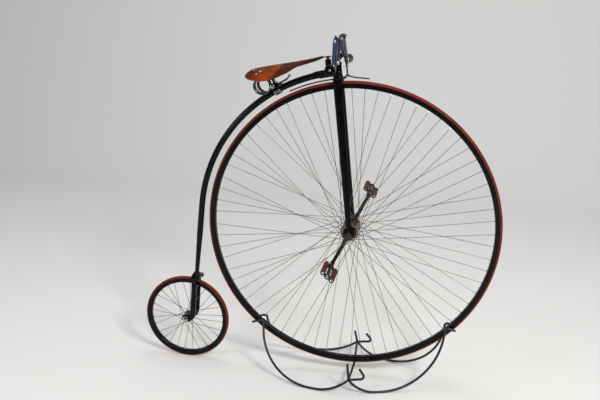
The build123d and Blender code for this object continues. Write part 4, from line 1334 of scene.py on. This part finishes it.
@dataclass
class StandWelds(Fittings):
    """Weld beads where the stand's rods and its crossbar meet."""

    # place of the left joint, ahead of the hub, to the left and over the floor
    joint: Triple = (38.0, 192.0, 68.0)
    beads: int = 3
    first_bead: float = 5.9  # distance of the first bead inside the joint
    bead_pitch: float = 1.1
    bead_reach: float = 6.5
    bead_taper: float = 0.5
    ripple: float = 0.35  # height of the ripples that the welder's hand leaves
    ripples: int = 9
    bead_radius: float = 1.5
    steps: int = 28

    def build(self) -> None:
        """Lays the beads round both joints."""
        ahead, aside, height = self.joint
        welds = Piece("stand_welds", Use.STAND, "fork_and_stand")
        for _, side in SIDES:
            for bead in range(self.beads):
                y = side * (aside - self.first_bead + self.bead_pitch * bead)
                centre = Vector((self.layout.hub.x + ahead * MM, y * MM, height * MM))
                path = []
                for step in range(self.steps):
                    turn = math.tau * step / self.steps
                    reach = self.bead_reach - self.bead_taper * bead
                    reach += self.ripple * math.sin(self.ripples * turn + bead)
                    path.append(centre + (FORWARD * math.cos(turn) + UP * math.sin(turn)) * reach * MM)
                welds.tube(path, self.bead_radius, sides=8, looped=True)
        welds.build()


# The studio and the camera


@dataclass
class Studio:
    """Pale floor and backdrop, soft lamps, and the camera that stands where the photograph was taken."""

    camera_at: Triple = (0.461094, -3.05763, 1.70340)
    lens_mm: float = 42.756  # focal length on a 36 mm wide sensor
    pitch_down: float = 0.272617  # radians, as roll and yaw
    roll: float = -0.0234906
    yaw: float = 0.172932
    floor_half: float = 14.0  # half the floor's width, and the backdrop's height
    wall_at: float = 5.0  # distance of the backdrop behind the machine
    bend_radius: float = 2.0
    bend_steps: int = 24
    paper: str = "#e4e2de"  # colour of both
    paper_roughness: float = 0.9
    # name, place, size and watts of each lamp
    lamps: tuple[tuple[str, Triple, float, float], ...] = (
        ("key", (3.0, -3.6, 4.2), 1.2, 230.0),
        ("fill", (-3.6, -3.0, 2.2), 1.0, 50.0),
        ("top", (0.0, 0.6, 4.6), 2.0, 50.0),
    )
    aim: Triple = (0.1, 0.0, 0.8)
    daylight: str = "#dfe2e8"  # colour of the even light on all surfaces
    daylight_strength: float = 0.55
    room: Stops = (  # what gloss sees from below to straight up: floor, dark low wall, then open sky
        (0.0, "#4c4946"), (0.2, "#26262a"), (0.4, "#3c4658"), (0.62, "#7d97c6"), (1.0, "#b4caee"),
    )
    # height of the first and of the last of these, -1 down and 1 up
    room_span: Pair = (-0.2, 1.0)

    def build(self) -> None:
        """Builds the whole studio."""
        self.sweep()
        self.light()
        self.world()
        self.camera()

    def sweep(self) -> None:
        """Builds the floor that curves up into the backdrop, as one sheet."""
        bend_from = self.wall_at - self.bend_radius
        path = [(-self.floor_half, 0.0), (bend_from, 0.0)]
        for step in range(1, self.bend_steps + 1):
            turn = math.pi / 2 * step / self.bend_steps
            path.append((bend_from + self.bend_radius * math.sin(turn),
                         self.bend_radius * (1 - math.cos(turn))))
        path.append((self.wall_at, self.floor_half))
        points = [(x, y, z) for y, z in path for x in (-self.floor_half, self.floor_half)]
        faces = [(2 * i, 2 * i + 1, 2 * i + 3, 2 * i + 2) for i in range(len(path) - 1)]
        mesh = bpy.data.meshes.new("studio_sweep")
        mesh.from_pydata(points, [], faces)
        mesh.shade_smooth()
        sheet = bpy.data.objects.new("studio_sweep", mesh)
        bpy.context.scene.collection.objects.link(sheet)
        paper = bpy.data.materials.new("backdrop_paper")
        paper.use_nodes = True
        shader = paper.node_tree.nodes["Principled BSDF"]
        shader.inputs["Base Color"].default_value = linear(self.paper)
        shader.inputs["Roughness"].default_value = self.paper_roughness
        mesh.materials.append(paper)

    def light(self) -> None:
        """Hangs the soft lamps round the machine."""
        for name, place, side, watts in self.lamps:
            lamp = bpy.data.lights.new(name, "AREA")
            lamp.size = side
            lamp.energy = watts
            held = bpy.data.objects.new(name, lamp)
            held.location = place
            held.rotation_euler = (Vector(self.aim) - held.location).to_track_quat("-Z", "Y").to_euler()
            bpy.context.scene.collection.objects.link(held)

    def world(self) -> None:
        """Sets the even light of the room, and the floor, wall and sky that gloss looks at."""
        world = bpy.data.worlds.new("studio_room")
        bpy.context.scene.world = world
        world.use_nodes = True
        tree = world.node_tree
        tree.nodes.clear()
        direction = add_node(tree, "ShaderNodeTexCoord").outputs["Generated"]
        low, high = self.room_span
        level = add_node(tree, "ShaderNodeMapRange", {
            "Value": add_node(tree, "ShaderNodeSeparateXYZ", {"Vector": direction}).outputs["Z"],
            "From Min": low, "From Max": high,
        })
        room = add_node(tree, "ShaderNodeValToRGB", {"Fac": level.outputs["Result"]}, stops=self.room)
        plain = add_node(tree, "ShaderNodeBackground", {
            "Color": linear(self.daylight), "Strength": self.daylight_strength,
        })
        shiny = add_node(tree, "ShaderNodeBackground", {"Color": room.outputs["Color"], "Strength": 1.0})
        both = add_node(tree, "ShaderNodeMixShader", {
            0: add_node(tree, "ShaderNodeLightPath").outputs["Is Glossy Ray"],
            1: plain.outputs["Background"], 2: shiny.outputs["Background"],
        })
        add_node(tree, "ShaderNodeOutputWorld", {"Surface": both.outputs["Shader"]})

    def camera(self) -> None:
        """Stands the camera at the photograph's place, turned, tipped and rolled as it was."""
        lens = bpy.data.cameras.new("camera")
        lens.lens = self.lens_mm
        lens.sensor_width = 36
        lens.clip_start = 0.05
        held = bpy.data.objects.new("camera", lens)
        held.matrix_world = Matrix.Translation(self.camera_at)
        for angle, axis in ((self.yaw, "Z"), (math.pi / 2 - self.pitch_down, "X"), (-self.roll, "Z")):
            held.matrix_world @= Matrix.Rotation(angle, 4, axis)
        bpy.context.scene.collection.objects.link(held)
        bpy.context.scene.camera = held
        bpy.context.scene.view_settings.view_transform = "Standard"


def finish_nodes(nodes: dict[str, bpy.types.Object]) -> None:
    """Gives each CAD node its real finish.

    Args:
        nodes: The frame's node objects by name.
    """
    for use, names in CAD_FINISHES.items():
        for name in names:
            slots = nodes[name].material_slots
            for number in range(len(slots)):
                slots[number].link = "OBJECT"
                slots[number].material = use.value.material()


def main() -> None:
    """Loads the frame, sets up the studio, gives the CAD nodes their finishes and builds every sub-assembly
    round it.
    """
    logging.basicConfig(level=logging.INFO, format="%(name)s: %(message)s")
    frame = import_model()
    Studio().build()
    finish_nodes(frame["nodes"])
    layout = Layout.of_frame(frame)
    Lacing("front", layout.hub, rim_reach=633.0, hub_reach=35.0, flange_y=56.0, per_row=17).build()
    Lacing("rear", layout.rear, rim_reach=182.0, hub_reach=18.0, flange_y=20.0, per_row=7).build()
    for fittings in (HubFittings, CrankFittings, PedalFittings, HeadFittings, Handlebar, BrakeFittings,
                     Saddle, SaddleSprings, RearFittings, StandWelds):
        fittings(layout).build()


if __name__ == "__main__":
    main()
